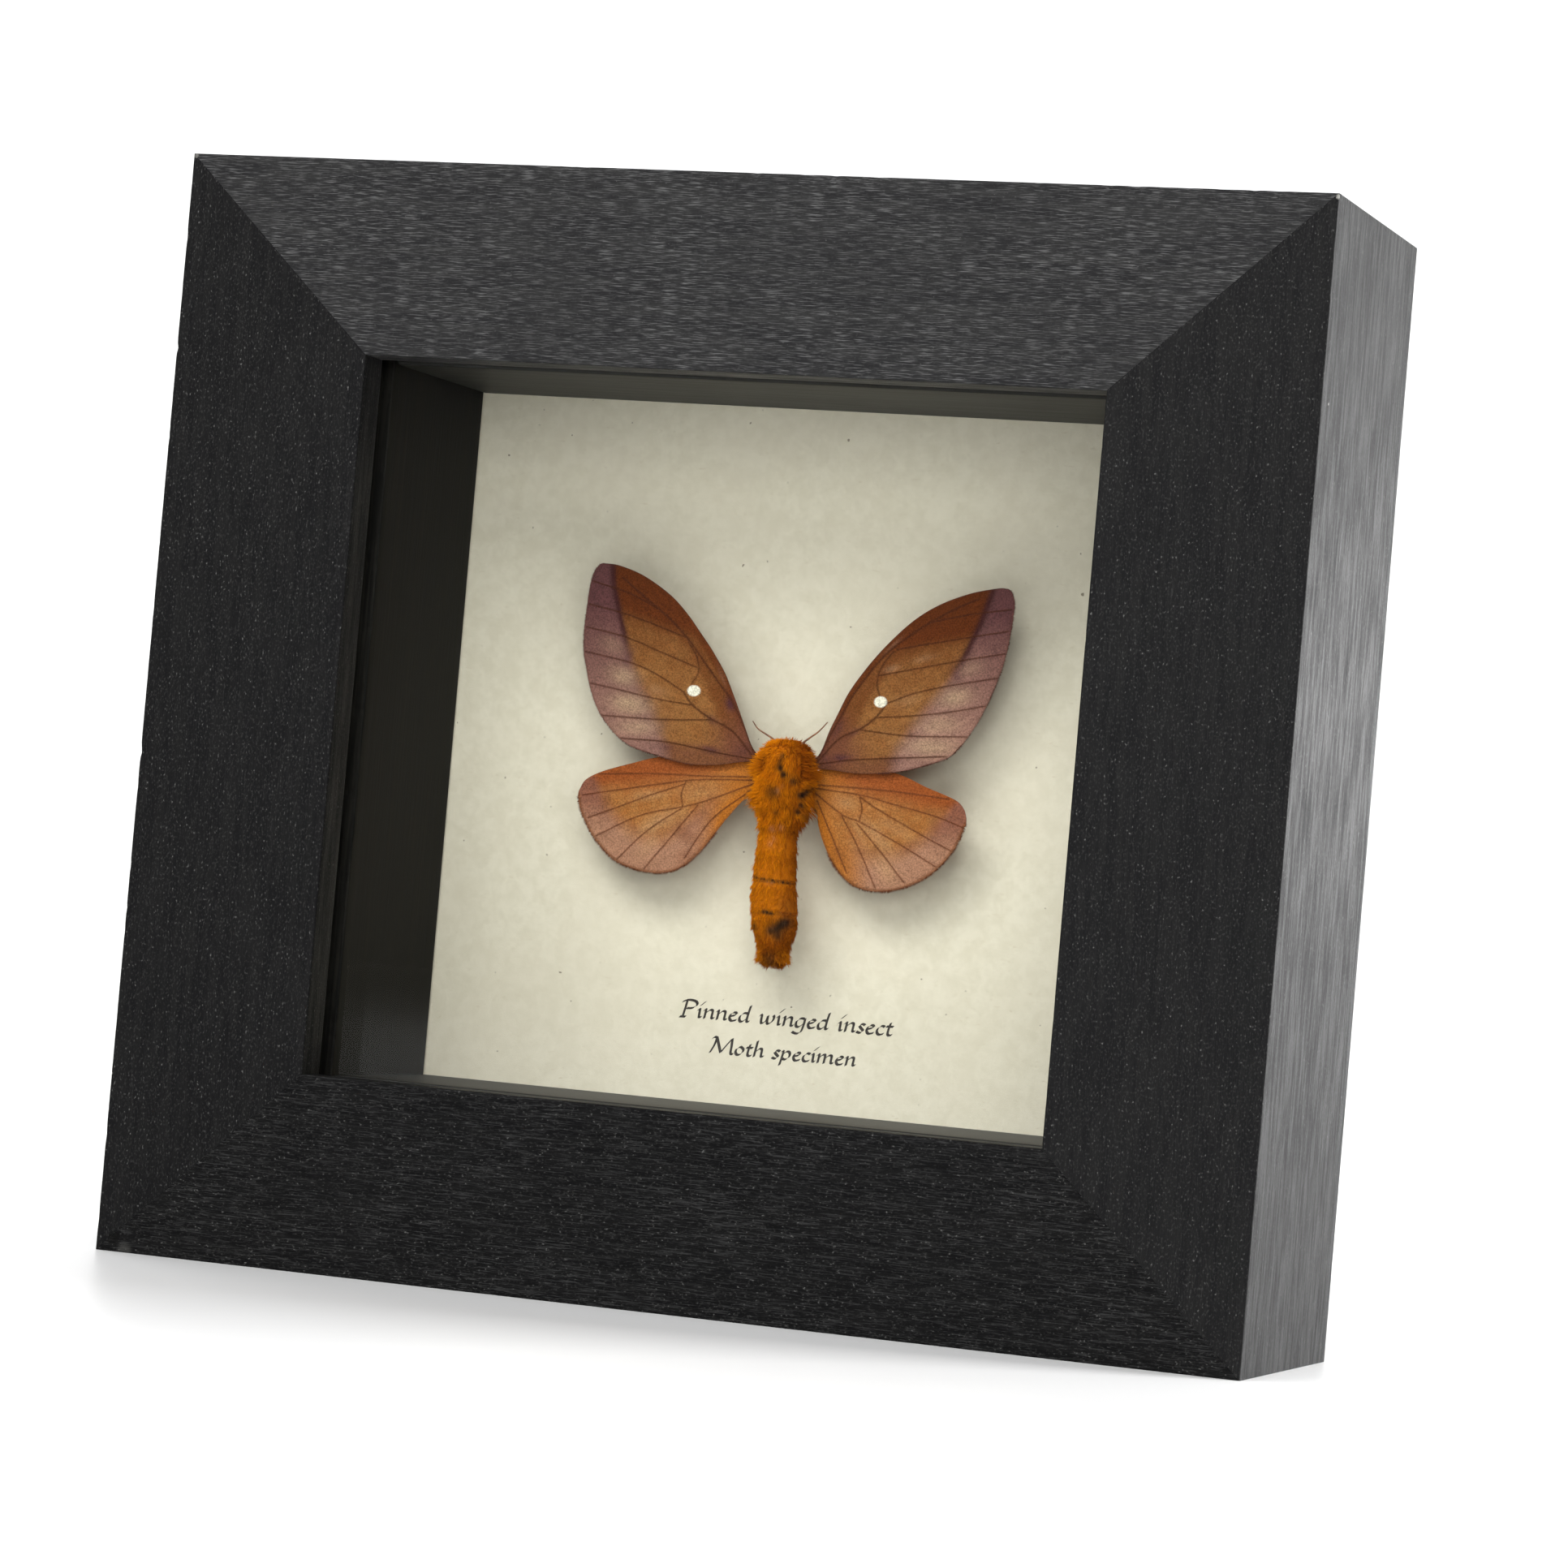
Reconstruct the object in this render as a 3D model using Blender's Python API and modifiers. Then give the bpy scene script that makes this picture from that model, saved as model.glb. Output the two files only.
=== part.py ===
"""Framed moth specimen: a spread moth on a pin in a deep black wooden box frame, behind glass.

Metres, +Z up. The frame stands on its bottom rail and faces -Y. The origin is under its middle, where
it stands. Depths are counted from the frame's front face towards the wall.
"""
import math

import bmesh
import bpy
import numpy as np
from mathutils import Matrix, Vector

# Driving dimensions of the frame
FRAME_WIDTH = 0.1400
FRAME_HEIGHT = 0.1310
FRAME_DEPTH = 0.0405
SIDE_RAIL = 0.0247
CROSS_RAIL = 0.0231
LIP_DEPTH = 0.0050
REBATE = 0.0052
ARRIS = 0.0006

# Gap kept between neighbours, and half of it for each side of a mitre
GAP = 0.0003

# What is stacked in the rebate, front to back
GLASS_THICKNESS = 0.0030
SPACER_BACK = 0.0360
PAPER_THICKNESS = 0.0004
BOARD_THICKNESS = 0.0020
POINT_THICKNESS = 0.0004
POINT_LENGTH = 0.0090
POINT_WIDTH = 0.0060
POINT_GRIP = 0.0022

# Sawtooth hanger on the board
HANGER_LENGTH = 0.0360
HANGER_WIDTH = 0.0070
HANGER_THICKNESS = 0.0006
HANGER_DROP = 0.0130
HANGER_TEETH = 9
TOOTH = 0.0012
NAIL_PITCH = 0.0290
NAIL_SHANK = 0.0007
NAIL_HEAD = 0.0016

# The moth's own middle: where the wing roots meet, and the depths of its parts
MOTH_X = 0.00095
MOTH_Z = 0.0630
FOREWING_DEPTH = 0.0298
HINDWING_DEPTH = 0.0306
WING_THICKNESS = 0.0003
FOREWING_CAMBER = 0.0005
HINDWING_CAMBER = 0.0002
ANTENNA_DEPTH = 0.0284
ANTENNA_RADIUS = 0.00016
LEG_RADIUS = 0.00028
PIN_RADIUS = 0.00025
PIN_X = 0.0004
PIN_Z = 0.0004
PIN_TIP_DEPTH = 0.0272

HALF_DEPTH = FRAME_DEPTH / 2
OPENING_HALF_WIDTH = FRAME_WIDTH / 2 - SIDE_RAIL
OPENING_HALF_HEIGHT = FRAME_HEIGHT / 2 - CROSS_RAIL
MIDDLE_Z = FRAME_HEIGHT / 2
REBATE_HALF_WIDTH = OPENING_HALF_WIDTH + REBATE
REBATE_HALF_HEIGHT = OPENING_HALF_HEIGHT + REBATE
GLASS_FRONT = LIP_DEPTH + GAP
SPACER_FRONT = GLASS_FRONT + GLASS_THICKNESS + GAP
PAPER_FRONT = SPACER_BACK + GAP
BOARD_FRONT = PAPER_FRONT + PAPER_THICKNESS + GAP
BOARD_BACK = BOARD_FRONT + BOARD_THICKNESS


# The scene is emptied, then gets one collection for the pieces and one for the cutters
for old in list(bpy.data.objects):
    bpy.data.objects.remove(old)
specimen = bpy.data.collections.new("framed_moth_specimen")
cutters = bpy.data.collections.new("cutters")
bpy.context.scene.collection.children.link(specimen)
bpy.context.scene.collection.children.link(cutters)


def depth_to_y(depth):
    """World Y of a depth counted from the frame's front face."""
    return depth - HALF_DEPTH


def moth_point(x_mm, z_mm, depth):
    """A place on the moth, given in millimetres from its middle, and a depth in metres."""
    return Vector((MOTH_X + x_mm / 1000, depth_to_y(depth), MOTH_Z + z_mm / 1000))


def make_material(name, colour, roughness, metallic=0.0, alpha=1.0):
    """A plain Principled material."""
    material = bpy.data.materials.new(name)
    material.use_nodes = True
    shader = material.node_tree.nodes["Principled BSDF"]
    shader.inputs["Base Color"].default_value = (*colour, 1.0)
    shader.inputs["Roughness"].default_value = roughness
    shader.inputs["Metallic"].default_value = metallic
    shader.inputs["Alpha"].default_value = alpha
    return material


def add_mesh(name, bm, material, collection=None):
    """A mesh object made from bm, in the specimen's collection unless another is given."""
    mesh = bpy.data.meshes.new(name)
    bm.normal_update()
    bm.to_mesh(mesh)
    bm.free()
    piece = bpy.data.objects.new(name, mesh)
    (collection or specimen).objects.link(piece)
    if material is not None:
        mesh.materials.append(material)
    return piece


def box_bmesh(size, centre):
    """A box as a bmesh, from Blender's cube primitive."""
    bm = bmesh.new()
    bmesh.ops.create_cube(bm, size=1.0)
    bmesh.ops.scale(bm, vec=size, verts=bm.verts)
    bmesh.ops.translate(bm, vec=centre, verts=bm.verts)
    return bm


def add_slab(name, half_width, half_height, front, thickness, material):
    """A flat sheet that fills the frame's inside, upright, centred on the opening."""
    size = (2 * half_width, thickness, 2 * half_height)
    centre = (0.0, depth_to_y(front + thickness / 2), MIDDLE_Z)
    return add_mesh(name, box_bmesh(size, centre), material)


def add_cutter(name, bm):
    """A cutter: kept out of renders and drawn as wire."""
    cutter = add_mesh(name, bm, None, cutters)
    cutter.hide_render = True
    cutter.display_type = "WIRE"
    return cutter


def cut(piece, cutter):
    """Take the cutter's shape out of the piece."""
    boolean = piece.modifiers.new("cut_" + cutter.name, "BOOLEAN")
    boolean.operation = "DIFFERENCE"
    boolean.solver = "EXACT"
    boolean.object = cutter


def rod_bmesh(radius, x, z, front, back, segments=20):
    """A round rod along the depth, from one depth to another."""
    bm = bmesh.new()
    turned = Matrix.Rotation(math.pi / 2, 4, "X")
    place = Matrix.Translation((x, depth_to_y((front + back) / 2), z))
    bmesh.ops.create_cone(bm, cap_ends=True, segments=segments, radius1=radius, radius2=radius,
                          depth=back - front, matrix=place @ turned)
    return bm


# Frame: four mitred rails of black-stained wood, each with a rebate behind its lip
def add_rail(name, length, width, end_width, material, turn):
    """One rail: an L-shaped profile carried along its length, then cut at its two mitres.

    It is made as the bottom rail of a frame centred on the origin and turned about Y into place.
    """
    outer = -(FRAME_HEIGHT if abs(math.cos(turn)) > 0.5 else FRAME_WIDTH) / 2
    inner = outer + width
    profile = [
        (-HALF_DEPTH, outer),
        (HALF_DEPTH, outer),
        (HALF_DEPTH, inner - REBATE),
        (depth_to_y(LIP_DEPTH), inner - REBATE),
        (depth_to_y(LIP_DEPTH), inner),
        (-HALF_DEPTH, inner),
    ]
    bm = bmesh.new()
    start = [bm.verts.new((-length / 2, y, z)) for y, z in profile]
    face = bm.faces.new(start)
    grown = bmesh.ops.extrude_face_region(bm, geom=[face])
    moved = [v for v in grown["geom"] if isinstance(v, bmesh.types.BMVert)]
    bmesh.ops.translate(bm, vec=(length, 0, 0), verts=moved)
    bmesh.ops.recalc_face_normals(bm, faces=bm.faces)

    rounded = []
    for edge in bm.edges:
        a, b = edge.verts
        on_face = abs(a.co.y) > HALF_DEPTH - 1e-6 and abs(a.co.x - b.co.x) > length / 2
        if on_face and abs(a.co.z - (inner - REBATE)) > 1e-6:
            rounded.append(edge)
    bmesh.ops.bevel(bm, geom=rounded, offset=ARRIS, segments=3, profile=0.5, affect="EDGES")

    for side in (-1, 1):
        corner = Vector((side * length / 2, 0, outer))
        opening_corner = Vector((side * (length / 2 - end_width), 0, inner))
        along = (opening_corner - corner).normalized()
        outward = Vector((side * along.z, 0, -side * along.x))
        plane_point = corner - outward * GAP / 2
        bmesh.ops.bisect_plane(bm, geom=bm.verts[:] + bm.edges[:] + bm.faces[:], plane_co=plane_point,
                               plane_no=outward, clear_outer=True, dist=1e-7)
        open_edges = [edge for edge in bm.edges if edge.is_boundary]
        bmesh.ops.holes_fill(bm, edges=open_edges)
    bmesh.ops.recalc_face_normals(bm, faces=bm.faces)

    bmesh.ops.rotate(bm, cent=(0, 0, 0), matrix=Matrix.Rotation(turn, 3, "Y"), verts=bm.verts)
    bmesh.ops.translate(bm, vec=(0, 0, MIDDLE_Z), verts=bm.verts)
    return add_mesh(name, bm, material)


black_wood = make_material("black_stained_wood", (0.030, 0.029, 0.028), 0.45)
rails = {
    "rail_bottom": add_rail("rail_bottom", FRAME_WIDTH, CROSS_RAIL, SIDE_RAIL, black_wood, 0.0),
    "rail_top": add_rail("rail_top", FRAME_WIDTH, CROSS_RAIL, SIDE_RAIL, black_wood, math.pi),
    "rail_left": add_rail("rail_left", FRAME_HEIGHT, SIDE_RAIL, CROSS_RAIL, black_wood, math.pi / 2),
    "rail_right": add_rail("rail_right", FRAME_HEIGHT, SIDE_RAIL, CROSS_RAIL, black_wood, -math.pi / 2),
}

# Glass: a clear pane that lies against the back of the lip
clear_glass = make_material("clear_glass", (0.97, 0.98, 0.98), 0.02, alpha=0.15)
pane_half_width = REBATE_HALF_WIDTH - GAP
pane_half_height = REBATE_HALF_HEIGHT - GAP
add_slab("glass_pane", pane_half_width, pane_half_height, GLASS_FRONT, GLASS_THICKNESS, clear_glass)


# Spacers: four black strips that stand between the glass and the paper, flush with the opening
def add_spacer(name, low, high, material):
    """A strip given by its lowest and highest X and Z."""
    size = (high[0] - low[0], SPACER_BACK - SPACER_FRONT, high[1] - low[1])
    centre = ((low[0] + high[0]) / 2, depth_to_y((SPACER_FRONT + SPACER_BACK) / 2), (low[1] + high[1]) / 2)
    return add_mesh(name, box_bmesh(size, centre), material)


black_card = make_material("black_spacer", (0.022, 0.022, 0.020), 0.60)
strip_bottom = MIDDLE_Z - pane_half_height
strip_top = MIDDLE_Z + pane_half_height
opening_bottom = MIDDLE_Z - OPENING_HALF_HEIGHT
opening_top = MIDDLE_Z + OPENING_HALF_HEIGHT
cross_half = OPENING_HALF_WIDTH - GAP
for side, word in ((-1, "left"), (1, "right")):
    edges = sorted((side * OPENING_HALF_WIDTH, side * pane_half_width))
    add_spacer("spacer_" + word, (edges[0], strip_bottom), (edges[1], strip_top), black_card)
add_spacer("spacer_bottom", (-cross_half, strip_bottom), (cross_half, opening_bottom), black_card)
add_spacer("spacer_top", (-cross_half, opening_top), (cross_half, strip_top), black_card)

# Paper and board: the cream sheet that the moth stands in front of, and the board that carries it
parchment = make_material("parchment_paper", (0.74, 0.70, 0.58), 0.80)
brown_board = make_material("brown_board", (0.36, 0.25, 0.15), 0.85)
paper = add_slab("mount_paper", pane_half_width, pane_half_height, PAPER_FRONT, PAPER_THICKNESS, parchment)
board = add_slab("backing_board", pane_half_width, pane_half_height, BOARD_FRONT, BOARD_THICKNESS, brown_board)
pin_x = MOTH_X + PIN_X
pin_z = MOTH_Z + PIN_Z
pin_back = BOARD_FRONT + 0.75 * BOARD_THICKNESS
pin_hole = add_cutter("pin_hole", rod_bmesh(PIN_RADIUS + GAP, pin_x, pin_z, PIN_TIP_DEPTH - GAP, pin_back + GAP))
cut(paper, pin_hole)
cut(board, pin_hole)

# Points: four flat steel points pressed into the rails, which hold the board in
steel = make_material("bright_steel", (0.62, 0.62, 0.60), 0.35, metallic=1.0)
point_front = BOARD_BACK + GAP
point_middle = point_front + POINT_THICKNESS / 2


def add_point(name, rail, across, up, turn):
    """A pentagonal steel point, its tip in a slot of the rail: across and up place its wall end."""
    half = POINT_WIDTH / 2
    outline = [(-half, POINT_GRIP - POINT_LENGTH), (half, POINT_GRIP - POINT_LENGTH), (half, 0.0),
               (0.0, POINT_GRIP), (-half, 0.0)]
    bm = bmesh.new()
    flat = bm.faces.new([bm.verts.new((x, 0, z)) for x, z in outline])
    grown = bmesh.ops.extrude_face_region(bm, geom=[flat])
    moved = [v for v in grown["geom"] if isinstance(v, bmesh.types.BMVert)]
    bmesh.ops.translate(bm, vec=(0, POINT_THICKNESS, 0), verts=moved)
    bmesh.ops.recalc_face_normals(bm, faces=bm.faces)
    bmesh.ops.rotate(bm, cent=(0, 0, 0), matrix=Matrix.Rotation(turn, 3, "Y"), verts=bm.verts)
    bmesh.ops.translate(bm, vec=(across, depth_to_y(point_front), MIDDLE_Z + up), verts=bm.verts)
    add_mesh(name, bm, steel)

    slot_size = Vector((POINT_WIDTH + 2 * GAP, POINT_THICKNESS + 2 * GAP, 2 * (POINT_GRIP + GAP)))
    slot = box_bmesh(slot_size, (0, 0, 0))
    bmesh.ops.rotate(slot, cent=(0, 0, 0), matrix=Matrix.Rotation(turn, 3, "Y"), verts=slot.verts)
    bmesh.ops.translate(slot, vec=(across, depth_to_y(point_middle), MIDDLE_Z + up), verts=slot.verts)
    cut(rail, add_cutter(name + "_slot", slot))


add_point("point_top", rails["rail_top"], 0.0, REBATE_HALF_HEIGHT, 0.0)
add_point("point_right", rails["rail_right"], REBATE_HALF_WIDTH, 0.0, math.pi / 2)
add_point("point_bottom", rails["rail_bottom"], 0.0, -REBATE_HALF_HEIGHT, math.pi)
add_point("point_left", rails["rail_left"], -REBATE_HALF_WIDTH, 0.0, -math.pi / 2)

# Hanger: a sawtooth strip nailed to the board near the top
hanger_front = BOARD_BACK + GAP
hanger_back = hanger_front + HANGER_THICKNESS
hanger_z = MIDDLE_Z + REBATE_HALF_HEIGHT - HANGER_DROP
teeth_span = 0.56 * HANGER_LENGTH
half_hanger = HANGER_LENGTH / 2
tooth_pitch = teeth_span / HANGER_TEETH
outline = [(-half_hanger, -HANGER_WIDTH / 2), (-teeth_span / 2, -HANGER_WIDTH / 2)]
for tooth in range(HANGER_TEETH):
    left = -teeth_span / 2 + tooth * tooth_pitch
    outline.append((left + tooth_pitch / 2, -HANGER_WIDTH / 2 + TOOTH))
    outline.append((left + tooth_pitch, -HANGER_WIDTH / 2))
outline += [(half_hanger, -HANGER_WIDTH / 2), (half_hanger, HANGER_WIDTH / 2), (-half_hanger, HANGER_WIDTH / 2)]
bm = bmesh.new()
flat = bm.faces.new([bm.verts.new((x, depth_to_y(hanger_front), hanger_z + z)) for x, z in outline])
grown = bmesh.ops.extrude_face_region(bm, geom=[flat])
moved = [v for v in grown["geom"] if isinstance(v, bmesh.types.BMVert)]
bmesh.ops.translate(bm, vec=(0, HANGER_THICKNESS, 0), verts=moved)
bmesh.ops.recalc_face_normals(bm, faces=bm.faces)
hanger = add_mesh("hanger_plate", bm, steel)
nail_tip = BOARD_FRONT + 0.25 * BOARD_THICKNESS
for side, word in ((-1, "left"), (1, "right")):
    nail_x = side * NAIL_PITCH / 2
    hole = add_cutter("nail_hole_" + word, rod_bmesh(NAIL_SHANK + GAP, nail_x, hanger_z, nail_tip - GAP,
                                                     hanger_back + GAP / 2))
    cut(hanger, hole)
    cut(board, hole)
    nail = add_mesh("hanger_nail_" + word, rod_bmesh(NAIL_SHANK, nail_x, hanger_z, nail_tip, FRAME_DEPTH - 0.0002,
                                                     16), steel)
    head = add_cutter("nail_head_" + word, rod_bmesh(NAIL_HEAD, nail_x, hanger_z, hanger_back + GAP, FRAME_DEPTH))
    join = nail.modifiers.new("head", "BOOLEAN")
    join.operation = "UNION"
    join.object = head


# Wings: thin cambered sheets, each spread between a front edge and a hind edge
def smooth_path(points, count):
    """Points evenly spaced on a Catmull-Rom curve through the given ones."""
    p = np.array(points, dtype=float)
    p = np.vstack([2 * p[0] - p[1], p, 2 * p[-1] - p[-2]])
    t = np.linspace(0, 1, 16, endpoint=False)[:, None]
    pieces = []
    for i in range(1, len(p) - 2):
        a, b, c, d = p[i - 1], p[i], p[i + 1], p[i + 2]
        pieces.append(0.5 * (2 * b + (c - a) * t + (2 * a - 5 * b + 4 * c - d) * t ** 2
                             + (3 * b - a - 3 * c + d) * t ** 3))
    fine = np.vstack(pieces + [p[-2:-1]])
    run = np.concatenate([[0], np.cumsum(np.linalg.norm(np.diff(fine, axis=0), axis=1))])
    even = np.linspace(0, run[-1], count)
    return np.column_stack([np.interp(even, run, fine[:, k]) for k in range(p.shape[1])])


def add_wing(name, front_edge, hind_edge, depth, camber, material):
    """A ruled sheet between the two edges, bowed towards the viewer and given a thickness.

    Row u runs from the root to the tip, column v from the front edge to the hind edge. The bow is
    camber * sin(pi v) * sin(pi u), and the edges are in millimetres from the moth's middle.
    """
    rows, columns = 25, 6
    u = np.linspace(0, 1, rows)[:, None]
    v = np.linspace(0, 1, columns)[None, :]
    front = smooth_path(front_edge, rows)[:, None, :]
    hind = smooth_path(hind_edge, rows)[:, None, :]
    flat = front * (1 - v[..., None]) + hind * v[..., None]
    bow = camber * np.sin(np.pi * v) * np.sin(np.pi * u)
    bm = bmesh.new()
    grid = [[bm.verts.new(moth_point(flat[i, j, 0], flat[i, j, 1], depth - bow[i, j]))
             for j in range(columns)] for i in range(rows)]
    for i in range(rows - 1):
        for j in range(columns - 1):
            bm.faces.new((grid[i][j], grid[i + 1][j], grid[i + 1][j + 1], grid[i][j + 1]))
    wing = add_mesh(name, bm, material)
    thick = wing.modifiers.new("thickness", "SOLIDIFY")
    thick.thickness = WING_THICKNESS
    thick.offset = 0.0
    return wing


forewing_brown = make_material("forewing_scales", (0.24, 0.10, 0.04), 0.75)
hindwing_orange = make_material("hindwing_scales", (0.52, 0.22, 0.11), 0.75)
add_wing(
    "forewing_left",
    [(-4.4, 2.9), (-6.7, 7.6), (-9.2, 12.4), (-12.8, 17.0), (-16.1, 20.4), (-20.1, 22.9), (-23.6, 24.1),
     (-25.9, 24.3)],
    [(-4.6, 1.6), (-8.7, 0.9), (-12.3, 0.7), (-16.2, 1.3), (-20.4, 2.4), (-23.2, 4.4), (-25.4, 7.3),
     (-26.8, 11.4), (-27.5, 15.0), (-27.4, 20.6), (-27.0, 23.1), (-26.5, 24.0)],
    FOREWING_DEPTH, FOREWING_CAMBER, forewing_brown)
add_wing(
    "forewing_right",
    [(4.1, 2.9), (5.3, 6.8), (7.4, 11.4), (10.3, 15.5), (13.3, 18.8), (16.6, 21.4), (20.8, 23.3),
     (24.4, 24.2), (25.7, 24.2)],
    [(4.4, 1.4), (9.1, 1.1), (14.1, 1.7), (18.6, 3.1), (20.8, 4.4), (23.2, 7.9), (25.1, 12.4),
     (26.2, 16.7), (26.7, 21.9), (26.4, 23.5), (26.1, 24.0)],
    FOREWING_DEPTH, FOREWING_CAMBER, forewing_brown)
add_wing(
    "hindwing_left",
    [(-4.9, 0.2), (-10.0, 1.9), (-16.0, 1.5), (-20.2, 0.3), (-23.8, -0.9), (-26.0, -2.1), (-26.8, -3.6)],
    [(-4.9, -2.4), (-7.4, -5.5), (-10.7, -10.0), (-13.5, -12.2), (-16.9, -12.7), (-20.9, -11.8),
     (-23.9, -9.5), (-26.2, -6.2), (-26.8, -4.2)],
    HINDWING_DEPTH, HINDWING_CAMBER, hindwing_orange)
add_wing(
    "hindwing_right",
    [(4.7, 0.0), (8.5, 1.6), (13.5, 1.5), (17.5, 0.1), (21.1, -1.1), (22.4, -2.2), (22.7, -3.2)],
    [(4.5, -2.6), (4.2, -4.6), (5.2, -7.5), (7.0, -10.4), (9.5, -12.3), (12.6, -12.7), (15.7, -12.0),
     (18.8, -10.2), (21.4, -7.2), (22.7, -3.9)],
    HINDWING_DEPTH, HINDWING_CAMBER, hindwing_orange)

# Body: head, furry thorax and abdomen in one, tapering to a flared tail tuft
# Each station: height from the moth's middle, centre across, half width, half depth, all in mm, depth in mm
BODY_STATIONS = [
    (4.7, 0.1, 0.5, 0.5, 28.7),
    (4.3, 0.1, 1.6, 1.5, 28.7),
    (3.2, 0.0, 3.0, 2.6, 28.8),
    (1.2, -0.1, 3.9, 3.3, 29.0),
    (-1.2, -0.1, 4.2, 3.5, 29.1),
    (-3.4, -0.2, 3.7, 3.2, 29.3),
    (-5.2, -0.3, 2.9, 2.7, 29.5),
    (-7.5, -0.3, 2.6, 2.4, 29.7),
    (-11.0, -0.3, 2.7, 2.5, 29.8),
    (-15.2, -0.1, 2.9, 2.6, 29.9),
    (-18.0, 0.2, 2.5, 2.3, 29.9),
    (-20.2, 0.5, 2.2, 2.1, 29.9),
    (-21.9, 0.6, 2.6, 2.0, 29.9),
    (-22.8, 0.6, 1.8, 1.4, 29.9),
    (-23.2, 0.6, 0.7, 0.6, 29.9),
]
BODY_RINGS = 46
BODY_SIDES = 28
TUFT_HEIGHT = 0.035
TUFTS_AROUND = 7


def add_body(name, material):
    """Elliptical rings on a smooth path through the stations, ruffled by a low wave for the fur."""
    stations = smooth_path(BODY_STATIONS, BODY_RINGS)
    angles = np.linspace(0, 2 * math.pi, BODY_SIDES, endpoint=False)
    bm = bmesh.new()
    rings = []
    for k, (height, across, half_width, half_depth, depth) in enumerate(stations):
        wave = 1 + TUFT_HEIGHT * np.sin(TUFTS_AROUND * angles + 2.2 * k) * math.sin(math.pi * k / (BODY_RINGS - 1))
        x = across + half_width * wave * np.cos(angles)
        y = depth / 1000 + half_depth / 1000 * wave * np.sin(angles)
        rings.append([bm.verts.new(moth_point(x[i], height, y[i])) for i in range(BODY_SIDES)])
    for lower, upper in zip(rings[1:], rings[:-1]):
        for i in range(BODY_SIDES):
            j = (i + 1) % BODY_SIDES
            bm.faces.new((lower[i], lower[j], upper[j], upper[i]))
    bm.faces.new(rings[0])
    bm.faces.new(rings[-1])
    bmesh.ops.recalc_face_normals(bm, faces=bm.faces)
    return add_mesh(name, bm, material)


golden_fur = make_material("golden_fur", (0.56, 0.24, 0.03), 0.90)
body = add_body("moth_body", golden_fur)
cut(body, pin_hole)


# Thin round parts: antennae, folded legs and the pin
def add_thread(name, route, radius, material, tip=0.5):
    """A tapering tube with closed ends along a smooth route of (x mm, z mm, depth mm) points."""
    curve = bpy.data.curves.new(name, "CURVE")
    curve.dimensions = "3D"
    curve.bevel_depth = radius
    curve.bevel_resolution = 2
    curve.use_fill_caps = True
    places = smooth_path(route, 4 * len(route))
    spline = curve.splines.new("POLY")
    spline.points.add(len(places) - 1)
    for k, (x, z, depth) in enumerate(places):
        spline.points[k].co = (*moth_point(x, z, depth / 1000), 1.0)
        spline.points[k].radius = 1 - (1 - tip) * k / (len(places) - 1)
    thread = bpy.data.objects.new(name, curve)
    specimen.objects.link(thread)
    curve.materials.append(material)
    return thread


antenna_brown = make_material("antenna_brown", (0.28, 0.13, 0.06), 0.70)
leg_brown = make_material("leg_brown", (0.36, 0.14, 0.03), 0.80)
antenna_mm = ANTENNA_DEPTH * 1000
add_thread("antenna_left", [(-2.1, 4.7, antenna_mm), (-3.0, 5.4, antenna_mm - 0.2), (-3.9, 6.0, antenna_mm - 0.3),
                            (-4.7, 6.8, antenna_mm - 0.3)], ANTENNA_RADIUS, antenna_brown)
add_thread("antenna_right", [(2.3, 4.6, antenna_mm), (3.1, 5.0, antenna_mm - 0.2), (4.2, 5.8, antenna_mm - 0.3),
                             (5.2, 6.9, antenna_mm - 0.3)], ANTENNA_RADIUS, antenna_brown)
# Each pair of legs: the height where it leaves the thorax, then how far the knee and foot lie
for word, hip, knee, foot in (("front", 2.4, 1.6, 3.0), ("middle", 0.2, -1.0, 0.6), ("hind", -2.0, -4.0, -2.6)):
    for side, hand in ((-1, "left"), (1, "right")):
        add_thread("leg_%s_%s" % (word, hand), [
            (side * 1.3, hip, 33.3),
            (side * 2.2, (hip + knee) / 2, 33.8),
            (side * 2.9, knee, 34.3),
            (side * 2.1, (knee + foot) / 2, 34.9),
            (side * 1.2, foot, 35.2),
        ], LEG_RADIUS, leg_brown)

black_pin = make_material("black_pin", (0.03, 0.03, 0.035), 0.35, metallic=0.8)
add_mesh("mounting_pin", rod_bmesh(PIN_RADIUS, pin_x, pin_z, PIN_TIP_DEPTH, pin_back, 16), black_pin)

for piece in specimen.objects:
    if piece.type == "MESH" and (piece.name.startswith(("moth", "mounting", "forewing", "hindwing", "hanger_nail"))):
        piece.data.shade_smooth()
        piece.data.set_sharp_from_angle(angle=math.radians(40))
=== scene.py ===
import math

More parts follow.
